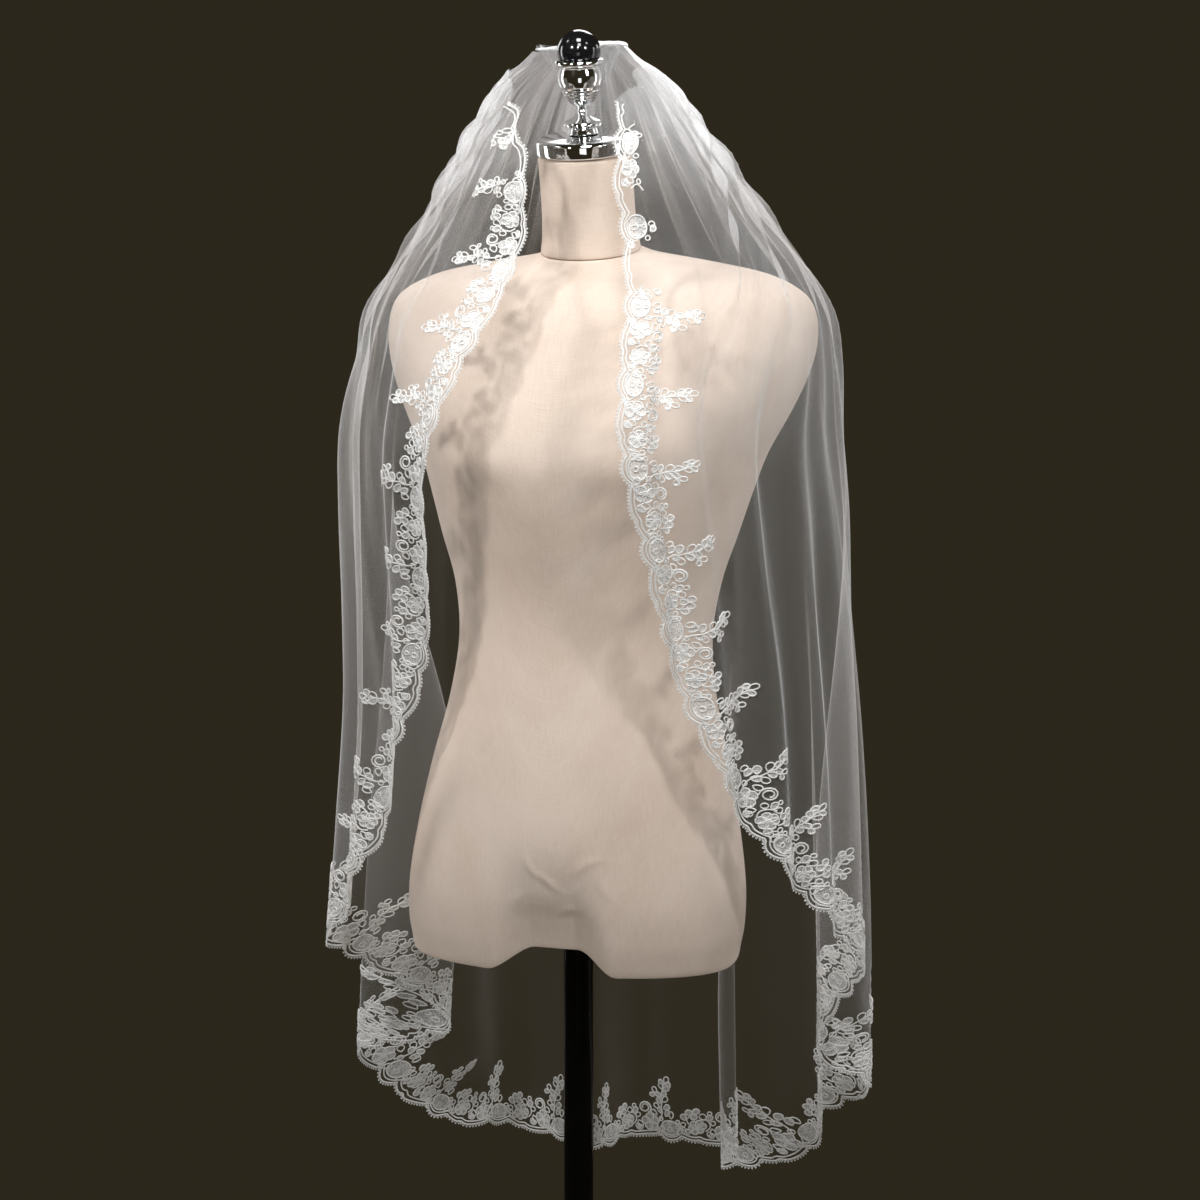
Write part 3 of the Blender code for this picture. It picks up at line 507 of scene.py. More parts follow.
chrome, tree, shader = new_material("polished chrome", (0.86, 0.87, 0.88), 0.05, 1.0)
add_wear(tree, shader, 0.02, 0.09, 0.0008, 0.00002)
CAP_HEIGHT = 0.0155
CAP_RADIUS = 0.0443
cap_profile = soften(
    [
        (0.0, CAP_HEIGHT + 0.0015),
        (CAP_RADIUS * 0.55, CAP_HEIGHT + 0.0008),
        (CAP_RADIUS - 0.0030, CAP_HEIGHT - 0.0010),
        (CAP_RADIUS, CAP_HEIGHT - 0.0035),
        (CAP_RADIUS, 0.0012),
        (CAP_RADIUS - 0.0012, 0.0),
        (0.0, 0.0),
    ],
    0.0014,
)
cap_foot = NECK_LENGTH + SEAM_GAP
cap_mesh = turned_mesh("chrome_cap", cap_profile, 128, on_neck_axis(cap_foot), NECK_LEAN)
finished("chrome_cap", cap_mesh, chrome, "chrome", "neck_cap")

STEM_HEIGHT = 0.0680
stem_profile = soften(
    [
        (0.0, 0.0680),
        (0.0170, 0.0680),
        (0.0224, 0.0668),
        (0.0234, 0.0645),
        (0.0222, 0.0620),
        (0.0184, 0.0602),
        (0.0192, 0.0576),
        (0.0205, 0.0530),
        (0.0207, 0.0480),
        (0.0196, 0.0432),
        (0.0176, 0.0400),
        (0.0176, 0.0384),
        (0.0164, 0.0372),
        (0.0160, 0.0352),
        (0.0148, 0.0342),
        (0.0142, 0.0324),
        (0.0106, 0.0280),
        (0.0060, 0.0245),
        (0.0042, 0.0220),
        (0.0054, 0.0200),
        (0.0046, 0.0178),
        (0.0085, 0.0152),
        (0.0126, 0.0132),
        (0.0166, 0.0112),
        (0.0180, 0.0094),
        (0.0176, 0.0072),
        (0.0132, 0.0060),
        (0.0136, 0.0030),
        (0.0146, 0.0),
        (0.0, 0.0),
    ],
    0.0012,
    4,
)
stem_foot = cap_foot + CAP_HEIGHT + 0.0015 + SEAM_GAP
stem_mesh = turned_mesh("chrome_finial", stem_profile, 96, on_neck_axis(stem_foot), NECK_LEAN)
finished("chrome_finial", stem_mesh, chrome, "chrome", "finial_stem")

BALL_RADIUS = 0.0198
ball_low = -BALL_RADIUS * 0.25
ball_profile = [(0.0, BALL_RADIUS)]
for step in range(1, 33):
    angle = math.acos(ball_low / BALL_RADIUS) * step / 32.0
    ball_profile.append((BALL_RADIUS * math.sin(angle), BALL_RADIUS * math.cos(angle)))
ball_profile.append((0.0, ball_low))
black_lacquer, tree, shader = new_material("black lacquer", (0.006, 0.006, 0.007), 0.06)
shader.inputs["Coat Weight"].default_value = 0.6
shader.inputs["Coat Roughness"].default_value = 0.03
add_wear(tree, shader, 0.05, 0.16, 0.002, 0.00002)
ball_middle = stem_foot + STEM_HEIGHT + SEAM_GAP - ball_low
ball_mesh = turned_mesh("black_knob", ball_profile, 96, on_neck_axis(ball_middle), NECK_LEAN)
finished("black_knob", ball_mesh, black_lacquer, "black_lacquer", "finial_ball")

# The comb
# A clear plastic veil comb, curved round the back of the finial. It is the solid itself,
# with a moulded clear finish.

clear_plastic, tree, shader = new_material("clear moulded plastic", (0.93, 0.94, 0.95), 0.12)
shader.inputs["Transmission Weight"].default_value = 0.85
shader.inputs["Alpha"].default_value = 0.25
shader.inputs["IOR"].default_value = 1.49
add_wear(tree, shader, 0.06, 0.20, 0.001, 0.00003)
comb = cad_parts["comb"]
for slot in comb.material_slots:
    slot.material = clear_plastic

# The tulle
# One tier of soft nylon tulle, cut as a wide half oval. Its straight edge is gathered
# tightly to the comb, and the rest falls over the shoulders and behind the form in fine
# gathers, four deep folds and some soft ones. It is one layer of open net.

VEIL_RINGS = (
    # height, side y, left, right, front, back
    (0.480, 0.050, 0.272, 0.268, 0.180, 0.188),
    (0.600, 0.050, 0.272, 0.268, 0.180, 0.180),
    (0.750, 0.050, 0.262, 0.268, 0.176, 0.168),
    (0.860, 0.050, 0.252, 0.264, 0.174, 0.160),
    (0.980, 0.050, 0.242, 0.257, 0.176, 0.150),
    (1.070, 0.052, 0.240, 0.249, 0.188, 0.138),
    (1.160, 0.055, 0.236, 0.240, 0.213, 0.123),
    (1.235, 0.058, 0.230, 0.230, 0.229, 0.108),
    (1.300, 0.062, 0.221, 0.225, 0.211, 0.099),
    (1.345, 0.063, 0.214, 0.217, 0.182, 0.092),
    (1.378, 0.061, 0.195, 0.200, 0.156, 0.080),
    (1.413, 0.054, 0.168, 0.174, 0.133, 0.070),
    (1.455, 0.045, 0.140, 0.145, 0.122, 0.060),
    (1.510, 0.033, 0.106, 0.107, 0.096, 0.052),
    (1.550, 0.018, 0.078, 0.080, 0.066, 0.052),
    (1.585, 0.004, 0.041, 0.041, 0.036, 0.041),
)
EDGE_POINTS = (
    # degrees from the middle of the back, height
    (-120.0, 1.565),
    (-151.0, 1.540),
    (-168.0, 1.490),
    (-174.0, 1.431),
    (-172.5, 1.368),
    (-167.5, 1.308),
    (-162.5, 1.251),
    (-158.5, 1.195),
    (-158.0, 1.138),
    (-156.0, 1.064),
    (-151.0, 0.992),
    (-143.0, 0.914),
    (-134.0, 0.836),
    (-116.0, 0.758),
    (-98.0, 0.700),
    (-82.0, 0.640),
    (-66.0, 0.592),
    (-57.0, 0.540),
    (-47.0, 0.510),
    (-37.0, 0.508),
    (-25.0, 0.496),
    (-12.0, 0.496),
    (6.0, 0.497),
    (28.0, 0.491),
    (38.0, 0.506),
    (47.0, 0.548),
    (58.0, 0.585),
    (67.0, 0.610),
    (80.0, 0.648),
    (89.0, 0.706),
    (98.0, 0.756),
    (110.0, 0.793),
    (130.0, 0.864),
    (145.0, 0.956),
    (153.5, 1.055),
    (156.5, 1.136),
    (159.0, 1.215),
    (160.5, 1.290),
    (161.0, 1.350),
    (160.5, 1.410),
    (157.0, 1.478),
    (147.0, 1.536),
    (118.0, 1.565),
)
FOLDS = (
    # middle, left half, right half, depth, lean, lean side, starts, full
    (-82.0, 30.0, 15.0, 0.100, 9.0, 1.0, 1.27, 0.80),
    (80.0, 14.0, 17.0, 0.055, -4.0, -1.0, 1.25, 0.78),
    (-13.0, 14.0, 14.0, 0.054, 2.0, 1.0, 1.25, 0.62),
    (27.0, 12.0, 12.0, 0.052, -2.0, -1.0, 1.22, 0.62),
    (-40.0, 9.0, 9.0, 0.020, 0.0, 1.0, 1.30, 0.70),
    (50.0, 8.0, 8.0, 0.020, 0.0, 1.0, 1.30, 0.80),
    (-104.0, 7.0, 7.0, 0.010, 0.0, 1.0, 1.28, 0.90),
    (-122.0, 7.0, 8.0, 0.012, 0.0, 1.0, 1.50, 1.20),
    (-139.0, 8.0, 8.0, 0.014, 0.0, 1.0, 1.50, 1.25),
    (-154.0, 6.0, 7.0, 0.010, 0.0, 1.0, 1.46, 1.25),
    (106.0, 6.0, 7.0, 0.012, 0.0, 1.0, 1.28, 1.05),
    (121.0, 7.0, 6.0, 0.014, 0.0, 1.0, 1.50, 1.15),
    (136.0, 7.0, 7.0, 0.014, 0.0, 1.0, 1.52, 1.25),
    (150.0, 5.0, 5.0, 0.010, 0.0, 1.0, 1.52, 1.25),
    (6.0, 5.0, 5.0, 0.010, 0.0, 1.0, 1.30, 0.90),
)
COMB_HEIGHT = 1.583
COMB_SPREAD = 95.0
REPEAT_LENGTH = 0.076
SPRIG_REACH = 0.064
CLEAR_OF_SPRIGS = 0.012
SCALLOP_DEPTH = 0.0065
WIDE_LOBE = 2.0 / 3.0
PLAIN_START = 0.020
LACE_GROWTH = 0.110
TOP_WIDTH = 1.85
COLUMNS_PER_REPEAT = 16
FALL_ROWS = 84
BAND_ROWS = 12

FINE_GATHERS = (
    # how many across the veil, depth, phase, where it is deepest and where it fades, from the comb
    (19.0, 0.0042, 0.4, 0.22, 0.80),
    (31.0, 0.0026, 1.7, 0.14, 0.50),
    (53.0, 0.0010, 2.9, 0.06, 0.24),
    (88.0, 0.0004, 0.9, 0.02, 0.12),
)


def table_column(table, index):
    return np.array([row[index] for row in table])


def ring_size(height, index):
    return smooth_table(table_column(VEIL_RINGS, 0), table_column(VEIL_RINGS, index), height)


def veil_point(turn, height, folded=True):
    """The cloth at a place round the ring in degrees and at a height."""
    leaned = turn.copy()
    inward = np.zeros_like(turn)
    for middle, left_half, right_half, depth, lean, side, starts, full in FOLDS if folded else ():
        grown = smooth_step((starts - height) / (starts - full))
        across = turn - middle
        half = np.where(across < 0.0, left_half, right_half)
        trough = (1.0 - np.clip(np.abs(across) / half, 0.0, 1.0) ** 2) ** 2
        near = right_half if side > 0 else left_half
        crest = 1.0 - np.clip(np.abs(across - side * near) / near, 0.0, 1.0) ** 2
        leaned = leaned + lean * grown * (trough - crest**2)
        inward = inward + depth * grown * trough
    if folded:
        below = COMB_HEIGHT - height
        gathered = smooth_step(below / 0.10) * np.exp(-((below / 0.34) ** 2))
        inward = inward + 0.0035 * gathered * np.cos(np.radians(turn) * 34)
    angle = np.radians(leaned)
    power = 2.0 / FORM_SQUARENESS
    across = signed_power(np.sin(angle), power)
    along = signed_power(np.cos(angle), power)
    x = across * np.where(across < 0.0, ring_size(height, 2), ring_size(height, 3))
    y = along * np.where(along < 0.0, ring_size(height, 4), ring_size(height, 5))
    kept = 1.0 - inward / np.hypot(x, y)
    return np.stack([x * kept, ring_size(height, 1) + y * kept, height], axis=-1)


def unit(vectors):
    return vectors / np.linalg.norm(vectors, axis=-1, keepdims=True)


def veil_edge(samples=2400):
    """Fine points along the cut edge: ring place, height and length run so far."""
    keys = np.arange(len(EDGE_POINTS), dtype=float)
    at = np.linspace(0.0, keys[-1], samples)
    turn = smooth_table(keys, table_column(EDGE_POINTS, 0), at)
    height = smooth_table(keys, table_column(EDGE_POINTS, 1), at)
    runs = np.linalg.norm(np.diff(veil_point(turn, height), axis=0), axis=1)
    return turn, height, np.concatenate([[0.0], np.cumsum(runs)])


EDGE = veil_edge()
EDGE_LENGTH = float(EDGE[2][-1])
REPEATS = round(EDGE_LENGTH / REPEAT_LENGTH)
REPEAT = EDGE_LENGTH / REPEATS


def inward_walk(runs, distance, steps=16):
    """Walks over the unfolded cloth, square to its cut edge. Gives each step's place."""
    turns, heights, lengths = EDGE
    turn = np.interp(runs, lengths, turns)
    height = np.interp(runs, lengths, heights)
    near = []
    for shift in (-0.006, 0.006):
        shifted = runs + shift
        near.append(veil_point(np.interp(shifted, lengths, turns), np.interp(shifted, lengths, heights), False))
    along = unit(near[1] - near[0])
    heading = None
    walked = [(turn, height)]
    for _ in range(steps):
        here = veil_point(turn, height, False)
        by_turn = (veil_point(turn + 0.05, height, False) - here) / 0.05
        by_height = (veil_point(turn, height + 0.0004, False) - here) / 0.0004
        normal = unit(np.cross(by_turn, by_height))
        if heading is None:
            heading = np.cross(normal, along)
        heading = unit(heading - normal * np.sum(heading * normal, axis=1, keepdims=True))
        tt = np.sum(by_turn * by_turn, axis=1)
        th = np.sum(by_turn * by_height, axis=1)
        hh = np.sum(by_height * by_height, axis=1)
        to_turn = np.sum(heading * by_turn, axis=1)
        to_height = np.sum(heading * by_height, axis=1)
        area = tt * hh - th * th
        step = distance / steps
        turn = turn + step * (hh * to_turn - th * to_height) / area
        height = height + step * (tt * to_height - th * to_turn) / area
        walked.append((turn, height))
    return np.array(walked)


def lace_growth(runs):
    """The lace starts a little way below each end of the comb and widens from nothing."""
    from_end = np.minimum(runs, EDGE_LENGTH - runs)
    return smooth_step((from_end - PLAIN_START) / LACE_GROWTH)


def band_reach(runs):
    return SPRIG_REACH * lace_growth(runs) + CLEAR_OF_SPRIGS


def evened(line, passes):
    for _ in range(passes):
        drawn = (line[..., :-2] + 2.0 * line[..., 1:-1] + line[..., 2:]) / 4.0
        line = np.concatenate([line[..., :1], drawn, line[..., -1:]], axis=-1)
    return line


def make_band():
    """The cloth's places (turn, height) along the edge, at even steps in to the lace's
    inner line, on fine columns."""
    coarse = np.linspace(0.0, EDGE_LENGTH, REPEATS * 6 + 1)
    walked = inward_walk(coarse, band_reach(coarse))
    fine = np.linspace(0.0, EDGE_LENGTH, REPEATS * 24 + 1)
    levels = []
    for level, line in enumerate(walked):
        share = level / (len(walked) - 1)
        line = evened(line, round(24 * share**1.2))
        levels.append(smooth_table(coarse, line.T, fine).T)
    return np.array(levels)


BAND = make_band()


def band_place(runs, inward):
    """The (turn, height) of places that lie inward of the cut edge, by length."""
    levels, _, columns = BAND.shape
    column = np.clip(runs / EDGE_LENGTH, 0.0, 1.0) * (columns - 1)
    level = np.clip(inward / band_reach(runs), -0.05, 1.0) * (levels - 1)
    left = np.minimum(column.astype(int), columns - 2)
    low = np.clip(level.astype(int), 0, levels - 2)
    across, up = column - left, level - low
    lower = BAND[low, :, left].T * (1 - across) + BAND[low, :, left + 1].T * across
    upper = BAND[low + 1, :, left].T * (1 - across) + BAND[low + 1, :, left + 1].T * across
    return lower * (1 - up) + upper * up


def cloth_point(runs, inward, lift):
    """A point in the lace band at a length along the edge, lifted off the cloth's face."""
    turn, height = band_place(runs, inward)
    here = veil_point(turn, height)
    by_turn = veil_point(turn + 0.05, height) - here
    by_height = veil_point(turn, height + 0.0004) - here
    return here + unit(np.cross(by_height, by_turn)) * np.asarray(lift)[..., None]


def scallop(runs):
    """How far each place of the scalloped cut lies inside the edge line: each repeat has a
    wide lobe with a slight dent in it and a narrow lobe."""
    place = runs / REPEAT % 1.0
    wide = np.abs(np.sin(np.pi * place / WIDE_LOBE))
    narrow = np.abs(np.sin(np.pi * (1.0 - place) / (1.0 - WIDE_LOBE)))
    lobe = np.where(place < WIDE_LOBE, wide, narrow) ** 0.7
    dent = 0.30 * np.exp(-(((place - 0.23) / 0.045) ** 2))
    return SCALLOP_DEPTH * (1.0 - lobe * (1.0 - dent))


def crown_drop(x):
    """How much lower the gathers lie towards the comb's two ends, the left one most."""
    left = smooth_step((-x - 0.010) / 0.030)
    right = smooth_step((x - 0.022) / 0.020)
    return 0.0058 * left + 0.0026 * right


def tulle_grid():
    """Points, flat places and fullness of the tulle, from the comb to the scalloped cut."""
    columns = REPEATS * COLUMNS_PER_REPEAT + 1
    runs = np.linspace(0.0, EDGE_LENGTH, columns)
    end_turn, end_height = band_place(runs, band_reach(runs))
    comb_turn = np.linspace(-COMB_SPREAD, COMB_SPREAD, columns)
    power = 1.0 + 2.0 * smooth_step((COMB_HEIGHT - end_height - 0.15) / 0.5)
    shares = np.linspace(0.0, 1.0, FALL_ROWS) ** 1.25
    rows = []
    for share in shares:
        spread = 1.0 - (1.0 - share) ** power
        turn = comb_turn + (end_turn - comb_turn) * spread
        rows.append(veil_point(turn, COMB_HEIGHT + (end_height - COMB_HEIGHT) * share))
    points = np.array(rows)
    fallen = np.cumsum(np.concatenate([[np.zeros(columns)], np.linalg.norm(np.diff(points, axis=0), axis=-1)]), axis=0)
    normal = unit(np.cross(np.gradient(points, axis=0), np.gradient(points, axis=1)))
    across = np.linspace(0.0, 1.0, columns)
    uneven = 0.75 + 0.45 * np.sin(2 * np.pi * 5.3 * across + 0.7) * np.sin(2 * np.pi * 12.7 * across + 1.9)
    ease = smooth_step((1.0 - shares) / 0.2)[:, None]
    points += normal * (0.0018 * np.exp(-(((fallen - 0.017) / 0.012) ** 2)))[..., None]
    points[..., 2] -= crown_drop(points[:1, :, 0]) * np.exp(-((fallen / 0.040) ** 2))
    for count, depth, phase, deepest, fades in FINE_GATHERS:
        grown = smooth_step(fallen / deepest) * np.exp(-((fallen / fades) ** 2))
        wave = np.cos(2 * np.pi * count * across + phase + 1.5 * np.sin(2 * np.pi * 2.3 * across + phase))
        points += normal * (depth * uneven * wave * grown * ease)[..., None]
    band = []
    for share in np.linspace(1.0, 0.0, BAND_ROWS + 1)[1:]:
        inward = scallop(runs) + (band_reach(runs) - scallop(runs)) * share
        band.append(veil_point(*band_place(runs, inward)))
    points = np.concatenate([points, np.array(band)])
    down = np.concatenate([[np.zeros(columns)], np.linalg.norm(np.diff(points, axis=0), axis=-1)])
    down = np.cumsum(down, axis=0)
    place = np.concatenate([shares, np.ones(BAND_ROWS)])[:, None]
    width = TOP_WIDTH + (EDGE_LENGTH - TOP_WIDTH) * place
    flat = np.stack([(across - 0.5)[None, :] * width, down], axis=-1)
    spacing = np.linalg.norm(np.gradient(points, axis=1), axis=-1)
    fullness = np.clip(width / (columns - 1) / spacing, 1.0, 16.0)
    chance = np.random.default_rng(3)
    streaks = sum(evened(chance.normal(0.0, 1.0, columns), passes) * passes**0.5 for passes in (4, 16, 60))
    streaks /= streaks.std()
    hang = np.exp(-down / 0.20) * 0.14 + np.exp(-down / 0.7) * 0.14
    fullness = fullness * np.exp(streaks[None, :] * hang * np.clip(down / 0.004, 0.0, 1.0))
    fullness *= 1.0 + 15.0 * np.exp(-((down / 0.098) ** 1.5))
    # The sides hang in more folds than the back, where the net is spread.
    aside = np.abs(across - 0.5) * 2.0
    fullness *= 1.0 + (2.6 * smooth_step((aside - 0.15) / 0.35) - 0.3) * smooth_step(down / 0.30)
    # The slant power runs from 0.35 near the comb to 1.3 lower down. Where it goes above 1, it paints a rim highlight
    # on the edge-on net.
    slant = 0.35 + 0.95 * smooth_step((down - 0.10) / 0.40)
    return points, flat, fullness, slant


def store(mesh, name, values):
    mesh.attributes.new(name, "FLOAT", "POINT").data.foreach_set("value", values.ravel())


points, flat, fullness, slant = tulle_grid()
tulle_mesh = sheet_mesh("tulle_fall", points, flat)
store(tulle_mesh, "fullness", fullness)
store(tulle_mesh, "slant", slant)

tulle, tree, shader = new_material("white tulle", (0.90, 0.90, 0.91), 0.75)
shader.inputs["Sheen Weight"].default_value = 0.2
shader.inputs["Specular IOR Level"].default_value = 0.2
NET_COVER = 0.020
MESH_SIZE = 0.0013
layers = node(tree, "ShaderNodeAttribute", {"attribute_name": "fullness"}).outputs["Fac"]
slanted = node(tree, "ShaderNodeAttribute", {"attribute_name": "slant"}).outputs["Fac"]
cells = node(tree, "ShaderNodeTexVoronoi", {"feature": "DISTANCE_TO_EDGE"}, Scale=1.0 / MESH_SIZE, Randomness=0.2)
tree.links.new(node(tree, "ShaderNodeTexCoord").outputs["UV"], cells.inputs["Vector"])
threads = node(tree, "ShaderNodeMapRange", Value=cells.outputs["Distance"], i1=0.02, i2=0.16, i3=2.2, i4=0.55)
cover = node(tree, "ShaderNodeMath", {"operation": "MULTIPLY"}, i0=threads.outputs["Result"], i1=NET_COVER)
clear = node(tree, "ShaderNodeMath", {"operation": "SUBTRACT", "use_clamp": True}, i0=1.0, i1=cover.outputs[0])
# The net's alpha grows where it is seen edge on, by one over its facing raised to the slant power. This is partly the
# net's real edge-on density and partly a painted highlight along the outline and folds, where the power goes above 1.
facing = node(tree, "ShaderNodeLayerWeight", Blend=0.5).outputs["Facing"]
square = node(tree, "ShaderNodeMath", {"operation": "SUBTRACT"}, i0=1.0, i1=facing)
square = node(tree, "ShaderNodeMath", {"operation": "MAXIMUM"}, i0=square.outputs[0], i1=0.16)
square = node(tree, "ShaderNodeMath", {"operation": "POWER"}, i0=square.outputs[0], i1=slanted)
depth = node(tree, "ShaderNodeMath", {"operation": "DIVIDE"}, i0=layers, i1=square.outputs[0])
open_part = node(tree, "ShaderNodeMath", {"operation": "POWER"}, i0=clear.outputs[0], i1=depth.outputs[0])
alpha = node(tree, "ShaderNodeMath", {"operation": "SUBTRACT"}, i0=1.0, i1=open_part.outputs[0])
tree.links.new(alpha.outputs[0], shader.inputs["Alpha"])
tulle_fall = finished("tulle_fall", tulle_mesh, tulle, "tulle", "veil_tulle")

# The heading
# The gathered straight edge of the tulle, turned under and whipped over the comb's bar.
# It stands up in small tight puffs.

HEADING_MIDDLE = 0.0408
HEADING_GATHERS = 72


def heading_mesh():
    steps = HEADING_GATHERS * 8
    spread = np.radians(np.linspace(-COMB_SPREAD, COMB_SPREAD, steps + 1))
    rounds = np.radians(np.linspace(0.0, 360.0, 17))[:-1]
    from_end = np.minimum(np.arange(steps + 1), steps - np.arange(steps + 1)) / steps
    uneven = 1.0 + 0.20 * np.sin(spread * 7.1 + 0.4) + 0.16 * np.sin(spread * 17.3)
    puff = np.abs(np.sin(np.linspace(0.0, HEADING_GATHERS * np.pi, steps + 1) + 0.5 * np.sin(spread * 9.0)))
    size = (0.55 + 0.50 * puff * uneven) * (0.25 + 0.75 * smooth_step(from_end / 0.16))
    points = []
    for angle in rounds:
        reach = HEADING_MIDDLE - 0.0012 + 0.0040 * size * math.cos(angle)
        height = COMB_HEIGHT + 0.0014 + 0.0026 * size * math.sin(angle) - crown_drop(reach * np.sin(spread))
        lean = 0.0010 * np.sin(spread * 23.0) * math.sin(angle)
        x = reach * np.sin(spread + lean)
        y = VEIL_RINGS[-1][1] + reach * np.cos(spread + lean)
        points.append(np.stack([x, y, height], axis=-1))
    points = np.array(points)[::-1].transpose(1, 0, 2)
    around = np.linspace(0.0, 0.03, 17)[None, :].repeat(steps + 1, axis=0)
    along = np.linspace(0.0, 0.5, steps + 1)[:, None].repeat(17, axis=1)
    return sheet_mesh("gathered_heading", points, np.stack([around, along], axis=-1), closed=True)


mesh = heading_mesh()
store(mesh, "fullness", np.full(len(mesh.vertices), 150.0))
store(mesh, "slant", np.full(len(mesh.vertices), 1.0))
heading = finished("gathered_heading", mesh, tulle, "tulle", "veil_heading")

# The lace edge
# Machine corded lace, laid on the tulle's cut edge and sewn down: two cords round the
# scallops with a row of small loops outside them, flowers and rings of cord with a
# stitched filling, and one branching sprig to each repeat. The net shows between them.

CORD = 0.00072
MOTIF_LIFT = 0.0007
FLOWERS = (
    # along, inward, petals, petal length, petal width, first petal in degrees
    (40.0, 15.5, 5, 9.0, 7.4, 100.0),
    (14.0, 17.0, 6, 8.0, 6.0, 75.0),
    (9.0, 31.5, 3, 6.6, 5.2, 50.0),
)
RINGS = (
    # along, inward, radius
    (40.0, 15.5, 1.7),
    (14.0, 17.0, 1.6),
    (63.0, 12.5, 2.4),
    (63.0, 19.0, 1.7),
    (27.5, 22.5, 2.5),
    (52.0, 21.5, 2.3),
    (23.0, 33.0, 2.0),
    (71.5, 21.0, 2.0),
    (1.0, 19.0, 2.4),
)
LEAVES = (
    # along, inward, degrees, length, width, filled
    (27.0, 16.5, -65.0, 8.0, 5.0, 0),
    (24.5, 8.0, 10.0, 6.5, 4.4, 1),
    (29.5, 8.5, 150.0, 6.0, 4.0, 0),
    (50.0, 7.5, 160.0, 6.5, 4.2, 1),
    (50.0, 8.0, 50.0, 7.5, 5.0, 0),
    (5.5, 8.5, 80.0, 6.0, 4.2, 1),
    (2.0, 9.5, 100.0, 7.0, 4.6, 0),
    (72.0, 8.0, 60.0, 8.0, 5.0, 0),
    (71.0, 14.0, 60.0, 6.5, 4.4, 1),
    (21.5, 24.0, 60.0, 7.5, 5.0, 1),
    (20.0, 25.0, 130.0, 7.5, 5.0, 0),
    (3.0, 24.0, 115.0, 7.0, 4.8, 1),
    (47.0, 25.0, 150.0, 7.0, 4.6, 0),
    (57.5, 25.0, 60.0, 8.0, 5.0, 1),
    (64.5, 24.0, 95.0, 7.5, 4.8, 0),
    (54.0, 28.0, 130.0, 7.5, 4.8, 1),
    (51.5, 33.0, 160.0, 7.5, 4.8, 0),
    (55.0, 33.0, 30.0, 8.0, 5.0, 1),
    (53.5, 39.0, 150.0, 7.5, 4.6, 1),
    (54.5, 40.0, 45.0, 8.5, 5.0, 0),
    (53.5, 46.0, 165.0, 8.0, 4.4, 1),
    (53.5, 47.0, 40.0, 6.5, 4.4, 1),
    (46.5, 47.5, 110.0, 7.0, 4.4, 0),
    (46.0, 46.5, 190.0, 5.5, 4.0, 1),
    (54.5, 53.5, 120.0, 7.0, 4.2, 0),
    (55.0, 53.5, 20.0, 7.5, 4.4, 1),
    (61.5, 56.5, 95.0, 6.5, 4.0, 1),
    (56.0, 59.5, 150.0, 6.5, 4.2, 1),
    (57.0, 60.0, 75.0, 8.5, 5.0, 0),
    (57.0, 59.5, 20.0, 6.5, 4.2, 0),
)
STEMS = (
    # along and inward, point by point
    ((50.0, 18.0), (53.5, 26.0), (53.0, 34.0), (54.0, 42.0), (53.5, 48.0), (55.0, 54.0), (57.0, 60.0)),
    ((53.8, 43.0), (50.0, 44.0), (46.0, 46.5)),
    ((22.0, 13.0), (25.0, 17.5), (23.5, 23.0), (19.0, 26.5)),
    ((6.5, 20.0), (4.5, 25.0), (7.5, 29.0), (9.0, 31.5)),
    ((67.0, 21.5), (73.0, 17.0), (77.5, 13.0), (83.0, 15.5)),
)
SCROLL = (34.5, 30.5, 6.6)
OVAL = (63.0, 14.0, 10.5, 7.6)


def petal(along, inward, degrees, length, width, points=10):
    """A closed drop-shaped loop of cord that starts at its foot."""
    part = np.linspace(0.0, 1.0, points, endpoint=False)
    swing = np.sin(2.0 * np.pi * part) * np.sin(np.pi * part) ** 0.6
    reach = (1.0 - np.cos(2.0 * np.pi * part)) / 2.0
    angle = math.radians(degrees)
    ahead = reach * length
    aside = swing * width * 0.66
    return np.stack(
        [along + ahead * math.cos(angle) - aside * math.sin(angle), inward + ahead * math.sin(angle) + aside * math.cos(angle)],
        axis=-1,
    )


def ring_of_cord(along, inward, radius):
    angle = np.linspace(0.0, 2.0 * np.pi, max(8, int(radius * 2.6)), endpoint=False)
    return np.stack([along + radius * np.cos(angle), inward + radius * np.sin(angle)], axis=-1)


def scroll(along, inward, radius, turns=1.75):
    """A curl of cord that winds in to its middle."""
    part = np.linspace(0.0, 1.0, int(12 * turns))
    angle = math.radians(-60.0) + 2.0 * np.pi * turns * part
    reach = radius * (1.0 - 0.62 * part)
    return np.stack([along + reach * np.cos(angle), inward + reach * np.sin(angle)], axis=-1)


def smooth_line(points, step=1.9):
    points = np.array(points)
    keys = np.concatenate([[0.0], np.cumsum(np.linalg.norm(np.diff(points, axis=0), axis=1))])
    return smooth_table(keys, points, np.linspace(0.0, keys[-1], int(keys[-1] / step) + 1))


def motif():
    """One repeat's cords in millimetres, each as (points, closed, filled, cord thickness)."""
    cords = []
    for along, inward, count, length, width, first in FLOWERS:
        for number in range(count):
            loop = petal(along, inward, first + 360.0 * number / count, length, width)
            cords.append((loop, True, True, 1.0))
    for along, inward, radius in RINGS:
        cords.append((ring_of_cord(along, inward, radius), True, False, 0.95))
    for along, inward, degrees, length, width, filled in LEAVES:
        cords.append((petal(along, inward, degrees, length, width), True, bool(filled), 0.95))
    for line in STEMS:
        cords.append((smooth_line(line), False, False, 1.0))
    cords.append((scroll(*SCROLL), False, False, 1.15))
    along, inward, half_length, half_width = OVAL
    oval = ring_of_cord(0.0, 0.0, half_length) * (1.0, half_width / half_length) + (along, inward)
    cords.append((oval, True, True, 1.1))
    return cords


